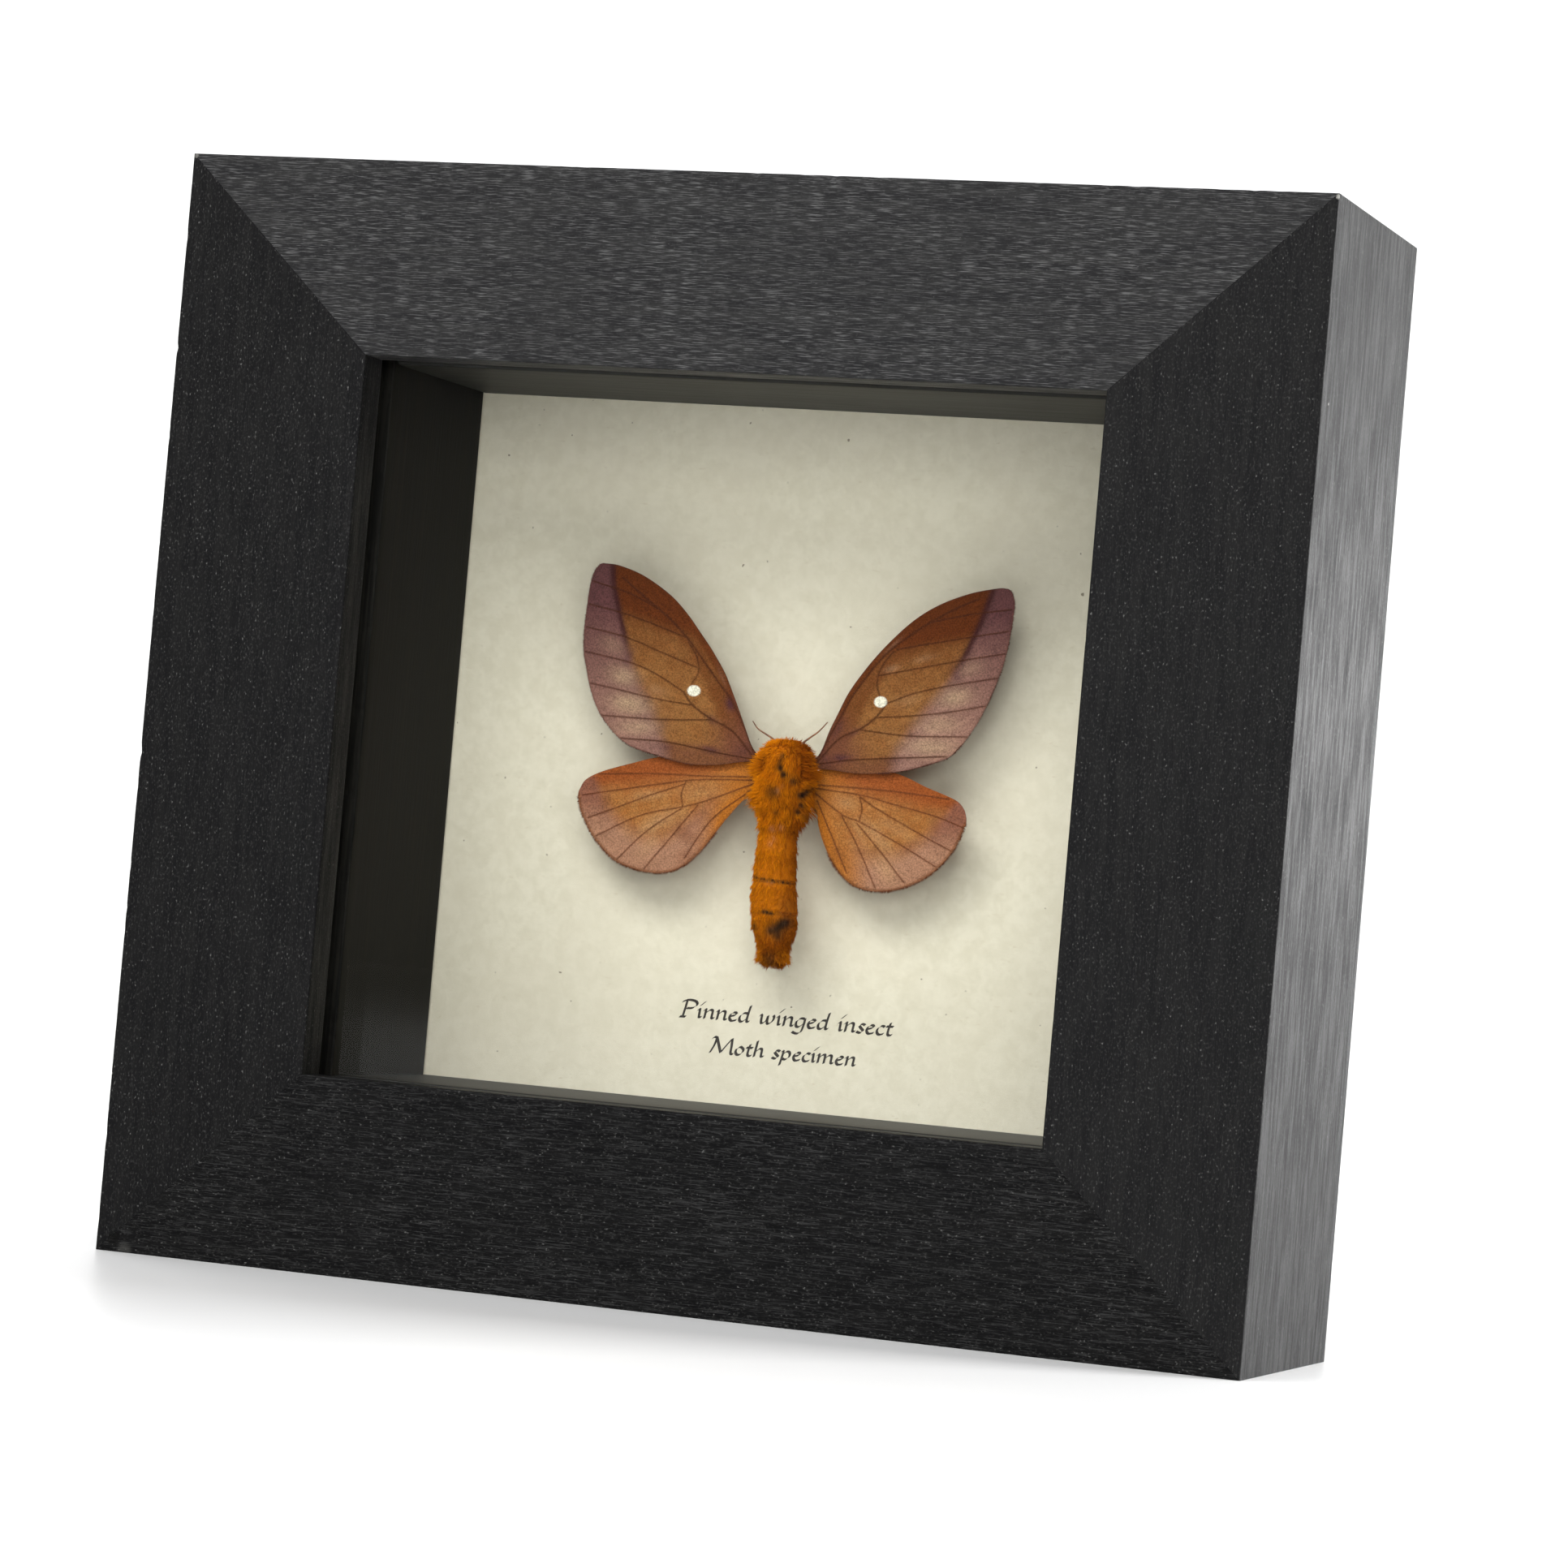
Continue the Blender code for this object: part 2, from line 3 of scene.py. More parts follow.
import bpy
import numpy as np
from mathutils import Euler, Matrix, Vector


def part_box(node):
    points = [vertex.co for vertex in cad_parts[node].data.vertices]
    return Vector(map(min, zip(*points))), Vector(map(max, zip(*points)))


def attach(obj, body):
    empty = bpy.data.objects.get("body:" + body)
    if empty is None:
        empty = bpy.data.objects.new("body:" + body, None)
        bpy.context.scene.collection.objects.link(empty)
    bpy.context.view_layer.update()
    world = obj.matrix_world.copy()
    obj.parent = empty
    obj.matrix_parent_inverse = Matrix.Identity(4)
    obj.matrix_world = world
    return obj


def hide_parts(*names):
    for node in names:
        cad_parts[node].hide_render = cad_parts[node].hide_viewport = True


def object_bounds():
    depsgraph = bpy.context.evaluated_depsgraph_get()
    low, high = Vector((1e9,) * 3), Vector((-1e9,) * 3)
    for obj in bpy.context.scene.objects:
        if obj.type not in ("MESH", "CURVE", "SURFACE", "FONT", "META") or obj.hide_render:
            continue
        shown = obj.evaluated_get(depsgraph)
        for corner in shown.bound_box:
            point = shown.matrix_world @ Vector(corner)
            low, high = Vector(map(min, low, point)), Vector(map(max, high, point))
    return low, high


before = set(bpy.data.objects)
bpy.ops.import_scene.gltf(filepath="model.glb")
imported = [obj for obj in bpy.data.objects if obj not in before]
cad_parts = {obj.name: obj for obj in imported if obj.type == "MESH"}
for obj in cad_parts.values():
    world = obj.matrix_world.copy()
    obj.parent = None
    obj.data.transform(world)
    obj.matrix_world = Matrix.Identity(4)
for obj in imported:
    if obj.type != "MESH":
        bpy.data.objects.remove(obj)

cad_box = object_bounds()
MM = 0.001

# Backing board: a brown fibre board, sawn to size and laid into the rebate behind the paper.
# It carries the pin, and the hanger is nailed to its back.


def shader_material(name, roughness, constants=()):
    """A material with one Principled shader, whose constant sockets are set as (name, value) pairs."""
    material = bpy.data.materials.new(name)
    material.use_nodes = True
    shader = material.node_tree.nodes["Principled BSDF"]
    shader.inputs["Roughness"].default_value = roughness
    for socket, value in constants:
        shader.inputs[socket].default_value = value
    return material, material.node_tree, shader


def put(tree, socket, value):
    """Feed a socket from another socket, or set it to a plain number or colour."""
    if isinstance(value, bpy.types.NodeSocket):
        tree.links.new(value, socket)
    elif isinstance(value, (tuple, list)):
        socket.default_value = (*value, 1.0)[:4] if len(socket.default_value) == 4 else value
    else:
        socket.default_value = value


def object_space(tree, scale=1.0, shift=(0.0, 0.0, 0.0)):
    """Object coordinates times one number, or axis by axis: a larger number makes a finer pattern."""
    place = tree.nodes.new("ShaderNodeTexCoord")
    mapping = tree.nodes.new("ShaderNodeMapping")
    tree.links.new(place.outputs["Object"], mapping.inputs["Vector"])
    mapping.inputs["Scale"].default_value = scale if isinstance(scale, tuple) else (scale, scale, scale)
    mapping.inputs["Location"].default_value = shift
    return mapping.outputs["Vector"]


def noise(tree, vector, scale=1.0, detail=2.0, roughness=0.5, distortion=0.0):
    """Smooth random value from 0 to 1, one feature for every 1 / scale units of the vector."""
    node = tree.nodes.new("ShaderNodeTexNoise")
    tree.links.new(vector, node.inputs["Vector"])
    node.inputs["Scale"].default_value = scale
    node.inputs["Detail"].default_value = detail
    node.inputs["Roughness"].default_value = roughness
    node.inputs["Distortion"].default_value = distortion
    return node.outputs["Fac"]


def between(tree, value, low, high, to_low=0.0, to_high=1.0):
    """Value carried from the range low..high to the range to_low..to_high, clamped and eased."""
    node = tree.nodes.new("ShaderNodeMapRange")
    node.interpolation_type = "SMOOTHSTEP"
    put(tree, node.inputs["Value"], value)
    for socket, number in (("From Min", low), ("From Max", high), ("To Min", to_low), ("To Max", to_high)):
        node.inputs[socket].default_value = number
    return node.outputs["Result"]


def arithmetic(tree, operation, first, second=0.0):
    """One arithmetic step on two numbers or sockets."""
    node = tree.nodes.new("ShaderNodeMath")
    node.operation = operation
    put(tree, node.inputs[0], first)
    put(tree, node.inputs[1], second)
    return node.outputs[0]


def blend_colour(tree, share, first, second, how="MIX"):
    """First colour where share is 0, second where it is 1."""
    node = tree.nodes.new("ShaderNodeMix")
    node.data_type = "RGBA"
    node.blend_type = how
    put(tree, node.inputs[0], share)
    put(tree, node.inputs[6], first)
    put(tree, node.inputs[7], second)
    return node.outputs[2]


def raise_bumps(tree, shader, height, distance, strength=1.0):
    """Relief from a height value, distance metres deep where the height changes by one."""
    node = tree.nodes.new("ShaderNodeBump")
    tree.links.new(height, node.inputs["Height"])
    node.inputs["Distance"].default_value = distance
    node.inputs["Strength"].default_value = strength
    tree.links.new(node.outputs["Normal"], shader.inputs["Normal"])


def fibre_board_material():
    """Brown board: fine felted fibres, paler and darker flecks, and soft clouds of tone."""
    material, tree, shader = shader_material("fibre_board", 0.88)
    fibres = noise(tree, object_space(tree, 2200), 1.0, 4.0, 0.7, 0.6)
    clouds = noise(tree, object_space(tree, 60), 1.0, 3.0, 0.6)
    colour = blend_colour(tree, between(tree, fibres, 0.3, 0.7), (0.17, 0.105, 0.055), (0.33, 0.22, 0.125))
    colour = blend_colour(tree, between(tree, clouds, 0.35, 0.65, 0.0, 0.45), colour, (0.25, 0.16, 0.09))
    put(tree, shader.inputs["Base Color"], colour)
    raise_bumps(tree, shader, fibres, 0.06 * MM, 0.6)
    return material


def dress(node_name, material):
    """Give a carried-over CAD solid its finish."""
    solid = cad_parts[node_name]
    solid.data.materials.clear()
    solid.data.materials.append(material)


dress("backing_board", fibre_board_material())

# Mount paper: one sheet of cream parchment laid on the board. It is calendered from clouded pulp,
# so it shows soft mottling, pale and brown fibres and a few dark specks.
PAPER_COCKLE = 0.05 * MM


def mesh_piece(name, vertices, faces, material, smooth_below=None):
    """An object at the origin made from an (n, 3) array and lists of faces, riding on the body.

    Faces are turned to point outwards by the sign of the enclosed volume. Edges that turn by more than
    smooth_below degrees stay sharp.
    """
    mesh = bpy.data.meshes.new(name)
    mesh.from_pydata(np.asarray(vertices, dtype=float).tolist(), [], faces)
    mesh.validate()
    triangles = np.empty(len(mesh.loop_triangles) * 3, dtype=np.int32)
    mesh.loop_triangles.foreach_get("vertices", triangles)
    corners = np.asarray(vertices, dtype=float)[triangles.reshape(-1, 3)]
    volume = np.einsum("ij,ij->i", corners[:, 0], np.cross(corners[:, 1], corners[:, 2])).sum()
    if volume < 0:
        mesh.flip_normals()
    if smooth_below is not None:
        mesh.shade_smooth()
        mesh.set_sharp_from_angle(angle=math.radians(smooth_below))
    mesh.materials.append(material)
    piece = bpy.data.objects.new(name, mesh)
    bpy.context.scene.collection.objects.link(piece)
    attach(piece, "root")
    return piece


def ring_faces(rings, around):
    """Quads between each ring of points and the next, with one face over each end."""
    row = np.arange(rings - 1)[:, None] * around
    column = np.arange(around)[None, :]
    beside = (column + 1) % around
    quads = np.stack([row + column, row + beside, row + around + beside, row + around + column], axis=-1)
    last = (rings - 1) * around
    return quads.reshape(-1, 4).tolist() + [list(range(around))[::-1], list(range(last, last + around))]


def carried(name, rings, material, smooth_below=40.0):
    """A closed skin over an (n, k, 3) stack of rings: a profile of k points carried along n places."""
    count, around = rings.shape[:2]
    return mesh_piece(name, rings.reshape(-1, 3), ring_faces(count, around), material, smooth_below)


def parchment_material():
    """Cream sheet: clouded pulp, short pale and brown fibres, and rare dark specks."""
    material, tree, shader = shader_material("parchment", 0.82)
    flat = object_space(tree, 1000)
    clouds = noise(tree, flat, 0.60, 4.0, 0.62, 0.3)
    broad = noise(tree, flat, 0.09, 2.0, 0.5)
    felt = noise(tree, flat, 3.4, 3.0, 0.65)
    colour = blend_colour(tree, between(tree, clouds, 0.30, 0.70), (0.72, 0.665, 0.515), (0.79, 0.735, 0.585))
    colour = blend_colour(tree, between(tree, broad, 0.35, 0.65, 0.0, 0.35), colour, (0.76, 0.695, 0.55))
    colour = blend_colour(tree, between(tree, felt, 0.35, 0.68, 0.0, 0.16), colour, (0.62, 0.57, 0.44))
    fibres = noise(tree, object_space(tree, (700, 700, 3400), (3.1, 0.0, 1.7)), 1.0, 2.0, 0.5, 2.2)
    colour = blend_colour(tree, between(tree, fibres, 0.66, 0.74, 0.0, 0.35), colour, (0.52, 0.42, 0.27))
    specks = noise(tree, flat, 1.25, 1.0, 0.4)
    colour = blend_colour(tree, between(tree, specks, 0.775, 0.80, 0.0, 0.75), colour, (0.16, 0.12, 0.07))
    put(tree, shader.inputs["Base Color"], colour)
    raise_bumps(tree, shader, felt, 0.035 * MM, 0.5)
    return material


def sheet_front(x, z, low, high):
    """Depth of the paper's face: a faint wave, cockle * sin(x) * sin(z), that dies out at the rim."""
    u = (x - low.x) / (high.x - low.x)
    v = (z - low.z) / (high.z - low.z)
    rim = np.clip(np.minimum.reduce([u, 1 - u, v, 1 - v]) * 8, 0, 1)
    wave = rim * np.sin(2.6 * math.pi * u + 0.7) * np.sin(2.1 * math.pi * v + 1.3)
    return low.y + PAPER_COCKLE * (1 + wave)


def cockled_sheet(name, low, high, material):
    """A closed sheet between two corners, with its front face cockled and its back face flat."""
    steps = 48
    x, z = np.meshgrid(np.linspace(low.x, high.x, steps), np.linspace(low.z, high.z, steps), indexing="ij")
    front = np.stack([x, sheet_front(x, z, low, high), z], axis=-1)
    back = np.stack([x, np.full_like(x, high.y), z], axis=-1)
    vertices = np.concatenate([front.reshape(-1, 3), back.reshape(-1, 3)])
    index = np.arange(steps * steps).reshape(steps, steps)
    quads = np.stack([index[:-1, :-1], index[1:, :-1], index[1:, 1:], index[:-1, 1:]], axis=-1).reshape(-1, 4)
    rim_line = np.concatenate([index[:-1, 0], index[-1, :-1], index[:0:-1, -1], index[0, :0:-1]])
    after = np.roll(rim_line, -1)
    under = steps * steps
    walls = np.stack([rim_line, rim_line + under, after + under, after], axis=-1)
    faces = quads.tolist() + (quads[:, ::-1] + under).tolist() + walls.tolist()
    return mesh_piece(name, vertices, faces, material, 40.0)


paper_low, paper_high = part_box("mount_paper")
paper = cockled_sheet("parchment_sheet", paper_low, paper_high, parchment_material())
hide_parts("mount_paper")

# Label: two centred lines written on the paper with a broad pen held at a slant, in dark brown ink.
# The words are general ones, and each letter is a few pen strokes.
INK_THICKNESS = 0.02 * MM
NIB_WIDTH = 0.31 * MM
NIB_THICKNESS = 0.08 * MM
NIB_SLANT = math.radians(40)
LETTER_LEAN = math.tan(math.radians(9))
LETTER_SQUAT = 0.61


def stroke_path(points, count=14):
    """A smooth path through a few points: a Catmull-Rom curve, evenly spaced along its length."""
    p = np.asarray(points, dtype=float)
    if len(p) == 2:
        return p[0] + (p[1] - p[0]) * np.linspace(0, 1, count)[:, None]
    p = np.vstack([2 * p[0] - p[1], p, 2 * p[-1] - p[-2]])
    t = np.linspace(0, 1, 16, endpoint=False)[None, :, None]
    a, b, c, d = p[:-3, None], p[1:-2, None], p[2:-1, None], p[3:, None]
    fine = 0.5 * (2 * b + (c - a) * t + (2 * a - 5 * b + 4 * c - d) * t ** 2
                  + (3 * b - a - 3 * c + d) * t ** 3)
    fine = np.vstack([fine.reshape(-1, p.shape[1]), p[-2]])
    run = np.concatenate([[0], np.cumsum(np.linalg.norm(np.diff(fine, axis=0), axis=1))])
    even = np.linspace(0, run[-1], count)
    return np.column_stack([np.interp(even, run, fine[:, k]) for k in range(p.shape[1])])


# Two strokes that letters share, then each letter: its width and its pen strokes, with the letter
# height as the unit
UPRIGHT = [(0.02, 0.80), (0.14, 0.98), (0.14, 0.0)]
BOWL = [(0.58, 0.92), (0.34, 0.97), (0.10, 0.62), (0.10, 0.18), (0.28, 0.02), (0.56, 0.40)]
LETTERS = {
    "P": (1.12, [[(0.30, 1.72), (0.27, 0.9), (0.22, 0.0)],
                 [(0.0, 1.55), (0.35, 1.80), (0.86, 1.72), (1.02, 1.36), (0.78, 1.00), (0.36, 0.92)],
                 [(0.02, 0.0), (0.42, 0.02)]]),
    "M": (1.75, [[(0.30, 1.75), (0.22, 0.9), (0.02, 0.0)], [(0.30, 1.75), (0.55, 0.9), (0.78, 0.12)],
                 [(0.78, 0.12), (1.05, 0.9), (1.40, 1.78)],
                 [(1.40, 1.78), (1.46, 0.9), (1.50, 0.12), (1.68, 0.06)],
                 [(0.0, 1.62), (0.14, 1.80), (0.32, 1.74)]]),
    "i": (0.42, [[(0.02, 0.78), (0.14, 0.98), (0.17, 0.5), (0.20, 0.08), (0.36, 0.16)],
                 [(0.14, 1.30), (0.42, 1.78)]]),
    "n": (0.86, [UPRIGHT,
                 [(0.15, 0.55), (0.42, 0.96), (0.60, 0.90), (0.61, 0.45), (0.63, 0.08), (0.80, 0.16)]]),
    "m": (1.32, [UPRIGHT, [(0.15, 0.55), (0.40, 0.96), (0.56, 0.90), (0.57, 0.0)],
                 [(0.58, 0.55), (0.84, 0.96), (1.02, 0.90), (1.04, 0.45), (1.07, 0.08), (1.24, 0.16)]]),
    "e": (0.68, [[(0.12, 0.50), (0.40, 0.62), (0.52, 0.80), (0.38, 0.97), (0.16, 0.78), (0.08, 0.40),
                  (0.24, 0.02), (0.58, 0.16)]]),
    "d": (0.84, [BOWL, [(0.66, 1.78), (0.60, 0.9), (0.60, 0.08), (0.78, 0.16)]]),
    "w": (1.16, [[(0.02, 0.84), (0.16, 0.98), (0.18, 0.40), (0.26, 0.04), (0.52, 0.40), (0.58, 0.92)],
                 [(0.58, 0.92), (0.58, 0.40), (0.66, 0.04), (0.92, 0.34), (1.00, 0.78), (0.92, 1.0)]]),
    "g": (0.80, [BOWL, [(0.62, 0.96), (0.60, 0.2), (0.50, -0.50), (0.22, -0.66), (-0.06, -0.50)]]),
    "s": (0.58, [[(0.50, 0.86), (0.32, 0.98), (0.14, 0.78), (0.28, 0.52), (0.44, 0.28), (0.28, 0.02),
                  (0.02, 0.14)]]),
    "c": (0.62, [[(0.54, 0.86), (0.36, 0.98), (0.12, 0.66), (0.10, 0.26), (0.28, 0.02), (0.56, 0.18)]]),
    "t": (0.56, [[(0.26, 1.34), (0.20, 0.7), (0.20, 0.18), (0.32, 0.02), (0.50, 0.14)],
                 [(0.02, 0.94), (0.48, 0.96)]]),
    "o": (0.76, [[(0.36, 0.98), (0.12, 0.72), (0.08, 0.30), (0.28, 0.02), (0.54, 0.26), (0.60, 0.70),
                  (0.36, 0.98)]]),
    "h": (0.86, [[(0.16, 1.80), (0.14, 0.9), (0.12, 0.0)],
                 [(0.13, 0.50), (0.40, 0.96), (0.58, 0.90), (0.60, 0.45), (0.62, 0.08), (0.80, 0.16)]]),
    "p": (0.86, [[(0.04, 0.84), (0.16, 0.98), (0.14, 0.2), (0.08, -0.66)],
                 [(0.15, 0.55), (0.42, 0.97), (0.64, 0.76), (0.62, 0.30), (0.38, 0.02), (0.16, 0.14)]]),
    " ": (0.52, []),
}
# Each line of the label: its words, the height of its base line and its length
LABEL_LINES = (("Pinned winged insect", 33.2 * MM, 27.4 * MM), ("Moth specimen", 29.15 * MM, 18.8 * MM))
LABEL_MIDDLE_X = 1.25 * MM


def pen_stroke(points, left, base, size):
    """Rings of a stroke: at each place of the path, the slanted nib's two ends, in and above the paper.

    The nib half-vector is (width / 2) * (cos slant, sin slant), plus a little across the path so that
    a stroke along the nib still leaves a hairline.
    """
    path = stroke_path(points)
    rise = path[:, 1] * size * LETTER_SQUAT
    x = left + path[:, 0] * size + LETTER_LEAN * rise
    z = base + rise
    along = np.gradient(np.column_stack([x, z]), axis=0)
    along /= np.linalg.norm(along, axis=1, keepdims=True) + 1e-12
    nib = np.array([math.cos(NIB_SLANT), math.sin(NIB_SLANT)]) * NIB_WIDTH / 2
    across = np.column_stack([-along[:, 1], along[:, 0]])
    side = np.sign(across @ nib)[:, None]
    half = nib + across * side * NIB_THICKNESS / 2
    middle = np.column_stack([x, z])
    ends = (middle + half, middle - half)
    paper_y = sheet_front(x, z, paper_low, paper_high)
    top = paper_y - INK_THICKNESS
    foot = paper_y + INK_THICKNESS
    ring = [(ends[0], top), (ends[1], top), (ends[1], foot), (ends[0], foot)]
    return np.stack([np.column_stack([e[:, 0], y, e[:, 1]]) for e, y in ring], axis=1)


def ink_material():
    """Dark brown ink, a little uneven where it sank into the paper."""
    material, tree, shader = shader_material("writing_ink", 0.62)
    uneven = noise(tree, object_space(tree, 3000), 1.0, 3.0, 0.6)
    share = between(tree, uneven, 0.35, 0.7)
    colour = blend_colour(tree, share, (0.012, 0.008, 0.006), (0.042, 0.029, 0.020))
    put(tree, shader.inputs["Base Color"], colour)
    return material


def written_label(name, material):
    """All pen strokes of both lines as one mesh; each line is centred and stretched to its own length."""
    vertices = []
    faces = []
    filled = 0
    for words, base, length in LABEL_LINES:
        plain = sum(LETTERS[letter][0] for letter in words)
        size = length / plain
        left = LABEL_MIDDLE_X - length / 2
        for letter in words:
            width, strokes = LETTERS[letter]
            for points in strokes:
                rings = pen_stroke(points, left, base, size)
                count, around = rings.shape[:2]
                vertices.append(rings.reshape(-1, 3))
                faces += [[corner + filled for corner in face] for face in ring_faces(count, around)]
                filled += count * around
            left += width * size
    return mesh_piece(name, np.concatenate(vertices), faces, material)


written_label("label_ink", ink_material())

# Pin: a black enamelled insect pin stood in the board. It enters the thorax from behind and carries
# the moth a few millimetres clear of the paper.


def enamel_material():
    """Black enamel on wire, with a faint waviness in the coat."""
    varnish = (("Coat Weight", 0.4), ("Coat Roughness", 0.15))
    material, tree, shader = shader_material("pin_enamel", 0.3, varnish)
    coat = noise(tree, object_space(tree, 900), 1.0, 2.0)
    colour = blend_colour(tree, coat, (0.008, 0.008, 0.009), (0.028, 0.027, 0.027))
    put(tree, shader.inputs["Base Color"], colour)
    return material


dress("mounting_pin", enamel_material())

# Body: head, thorax and abdomen in one dry shell, set with short hair scales in mustard and orange.
# Two bare seams cross the abdomen, and the tail ends in a flared tuft.
MOTH_X = 0.95
MOTH_Z = 63.0
HALF_DEPTH_MM = cad_box[1].y / MM
SKIN_SHARE = 0.80
# Stations: height, centre across, half width, half depth and centre depth, in millimetres
BODY_STATIONS = [
    (4.25, 0.25, 0.5, 0.5, 28.7), (4.0, 0.25, 2.0, 1.75, 28.7), (3.2, 0.25, 3.3, 2.6, 28.8),
    (1.6, 0.3, 3.75, 3.3, 29.0), (-0.6, 0.25, 3.85, 3.5, 29.1), (-2.6, 0.15, 3.65, 3.3, 29.3),
    (-4.4, 0.05, 3.15, 2.8, 29.5), (-6.2, -0.3, 2.75, 2.5, 29.6), (-8.9, -0.38, 2.95, 2.5, 29.7),
    (-12.1, -0.37, 3.2, 2.6, 29.8), (-14.4, -0.25, 3.45, 2.7, 29.9), (-16.2, -0.05, 3.45, 2.6, 29.9),
    (-17.8, 0.12, 3.35, 2.4, 29.9), (-19.2, 0.2, 2.75, 2.2, 29.9), (-20.4, 0.15, 2.0, 1.9, 29.9),
    (-21.2, 0.2, 1.85, 1.7, 29.9), (-21.8, 0.3, 1.75, 1.5, 29.9), (-22.2, 0.45, 1.2, 1.0, 29.9),
    (-22.35, 0.5, 0.5, 0.5, 29.9),
]
# Seams across the abdomen: height and half width; the joints start below the waist
SEAMS = ((-12.55, 0.15), (-16.3, 0.12))
WAIST = -5
JOINT_SPACING = 3.65
SINGED = (0.026, 0.015, 0.009)


def world_mm(x, depth, z):
    """Metres in the frame's space from millimetres on the moth: across, depth from the front, and up."""
    return np.stack([(x + MOTH_X) * MM, (depth - HALF_DEPTH_MM) * MM, (z + MOTH_Z) * MM], axis=-1)


def mark(piece, name, values):
    """Store one number for each vertex, for the material to read."""
    attribute = piece.data.attributes.new(name, "FLOAT", "POINT")
    attribute.data.foreach_set("value", np.asarray(values, dtype=np.float32).ravel())


def read_mark(tree, name):
    """The number stored under that name."""
    node = tree.nodes.new("ShaderNodeAttribute")
    node.attribute_name = name
    return node.outputs["Fac"]


def seam_dip(height):
    """1 in the middle of a seam across the abdomen, falling off as exp(-(distance / width)^2)."""
    return sum(np.exp(-((height - place) / width) ** 2) for place, width in SEAMS)


def skin_material():
    """The shell between the hairs: brown-orange, darker in the seams and in the singed places."""
    material, tree, shader = shader_material("moth_shell", 0.8, (("Specular IOR Level", 0.05),))
    grain = noise(tree, object_space(tree, 1500), 1.0, 3.0, 0.6)
    colour = blend_colour(tree, grain, (0.30, 0.075, 0.002), (0.50, 0.145, 0.003))
    colour = blend_colour(tree, read_mark(tree, "seam"), colour, (0.035, 0.032, 0.018))
    colour = blend_colour(tree, read_mark(tree, "dark"), colour, SINGED)
    put(tree, shader.inputs["Base Color"], colour)
    raise_bumps(tree, shader, grain, 0.05 * MM)
    return material


def body_shell(name, material):
    """Rings of ellipses along the stations, drawn in at the seams and at the joints of the abdomen."""
    around = 64
    stations = stroke_path(BODY_STATIONS, 150)
    height, across, half_width, half_depth, depth = (stations[:, k, None] for k in range(5))
    angle = np.linspace(0, 2 * math.pi, around, endpoint=False)[None, :]
    joints = 0.015 * np.cos(2 * math.pi * height / JOINT_SPACING + 1.6) * (height < WAIST)
    share = SKIN_SHARE + joints - 0.05 * seam_dip(height)
    x = across + half_width * share * np.cos(angle)
    y = depth + half_depth * share * np.sin(angle)
    points = world_mm(x, y, np.broadcast_to(height, x.shape))
    shell = carried(name, points, material)
    mark(shell, "seam", np.broadcast_to(np.clip(seam_dip(height), 0, 1), x.shape))
    return shell


shell = body_shell("moth_shell", skin_material())
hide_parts("moth_body")

# A hair is three rings of three points and a tip
HAIR_POINTS = 10


def hair_mesh(name, roots, directions, lengths, widths, bends, material):
    """Many tapering hairs as one mesh, each a three-sided spike of three rings and a tip.

    Along a hair, s runs from 0 to 1 and the place is root + length * (s * direction + s^2 * bend). The
    half width is width * (1 - 0.6 s^2), and the last ring closes to a point.
    """
    count = len(roots)
    levels = np.array([0.0, 0.38, 0.74])
    ring_points = 3 * len(levels)
    helper = np.where(np.abs(directions[:, 2:3]) > 0.9, [[1.0, 0.0, 0.0]], [[0.0, 0.0, 1.0]])
    side = np.cross(directions, helper)
    side /= np.linalg.norm(side, axis=1, keepdims=True)
    other = np.cross(directions, side)
    turns = np.array([0.0, 2.0, 4.0]) * math.pi / 3
    s = levels[None, :, None]
    middle = roots[:, None] + lengths[:, None, None] * (s * directions[:, None] + s ** 2 * bends[:, None])
    half = widths[:, None, None] * (1 - 0.6 * s ** 2)
    spread = (np.cos(turns)[None, None, :, None] * side[:, None, None]
              + np.sin(turns)[None, None, :, None] * other[:, None, None])
    rings = middle[:, :, None] + half[..., None] * spread
    tip = roots + lengths[:, None] * (directions + bends)
    vertices = np.concatenate([rings.reshape(count, ring_points, 3), tip[:, None]], axis=1).reshape(-1, 3)
    quads = []
    for ring in (0, 3):
        for corner in range(3):
            after = (corner + 1) % 3
            quads.append((ring + corner, ring + after, ring + 3 + after, ring + 3 + corner))
    triangles = [(6, 7, 9), (7, 8, 9), (8, 6, 9), (2, 1, 0)]
    offset = np.arange(count)[:, None, None] * HAIR_POINTS
    faces = (np.array(quads)[None] + offset).reshape(-1, 4).tolist()
    faces += (np.array(triangles)[None] + offset).reshape(-1, 3).tolist()
    piece = mesh_piece(name, vertices, faces, material, 180.0)
    mark(piece, "tip", np.tile(np.append(np.repeat(levels, 3), 1.0), count))
    return piece


def unit(vectors):
    """Vectors scaled to length one."""
    return vectors / (np.linalg.norm(vectors, axis=-1, keepdims=True) + 1e-12)


def ease(value, low, high):
    """Smooth step: 0 below low, 1 above high, 3 t^2 - 2 t^3 between."""
    t = np.clip((value - low) / (high - low), 0, 1)
    return t * t * (3 - 2 * t)


def fur_material(name, deep, bright):
    """Hair scales: deep at the root, bright at the tip, rusty by tone, worn bare or singed dark in places.
    The tone also carries painted shade on the right flank.
    """
    material, tree, shader = shader_material(name, 0.8, (("Specular IOR Level", 0.05),))
    colour = blend_colour(tree, read_mark(tree, "tip"), deep, bright)
    # The tone mixes towards this rust colour both for rusty hair and for painted shade on the right side.
    rust_and_shade = blend_colour(tree, 1.0, colour, (0.46, 0.34, 0.30), "MULTIPLY")
    colour = blend_colour(tree, read_mark(tree, "tone"), colour, rust_and_shade)
    colour = blend_colour(tree, read_mark(tree, "bare"), colour, (0.60, 0.25, 0.095))
    colour = blend_colour(tree, read_mark(tree, "dark"), colour, SINGED)
    put(tree, shader.inputs["Base Color"], colour)
    return material


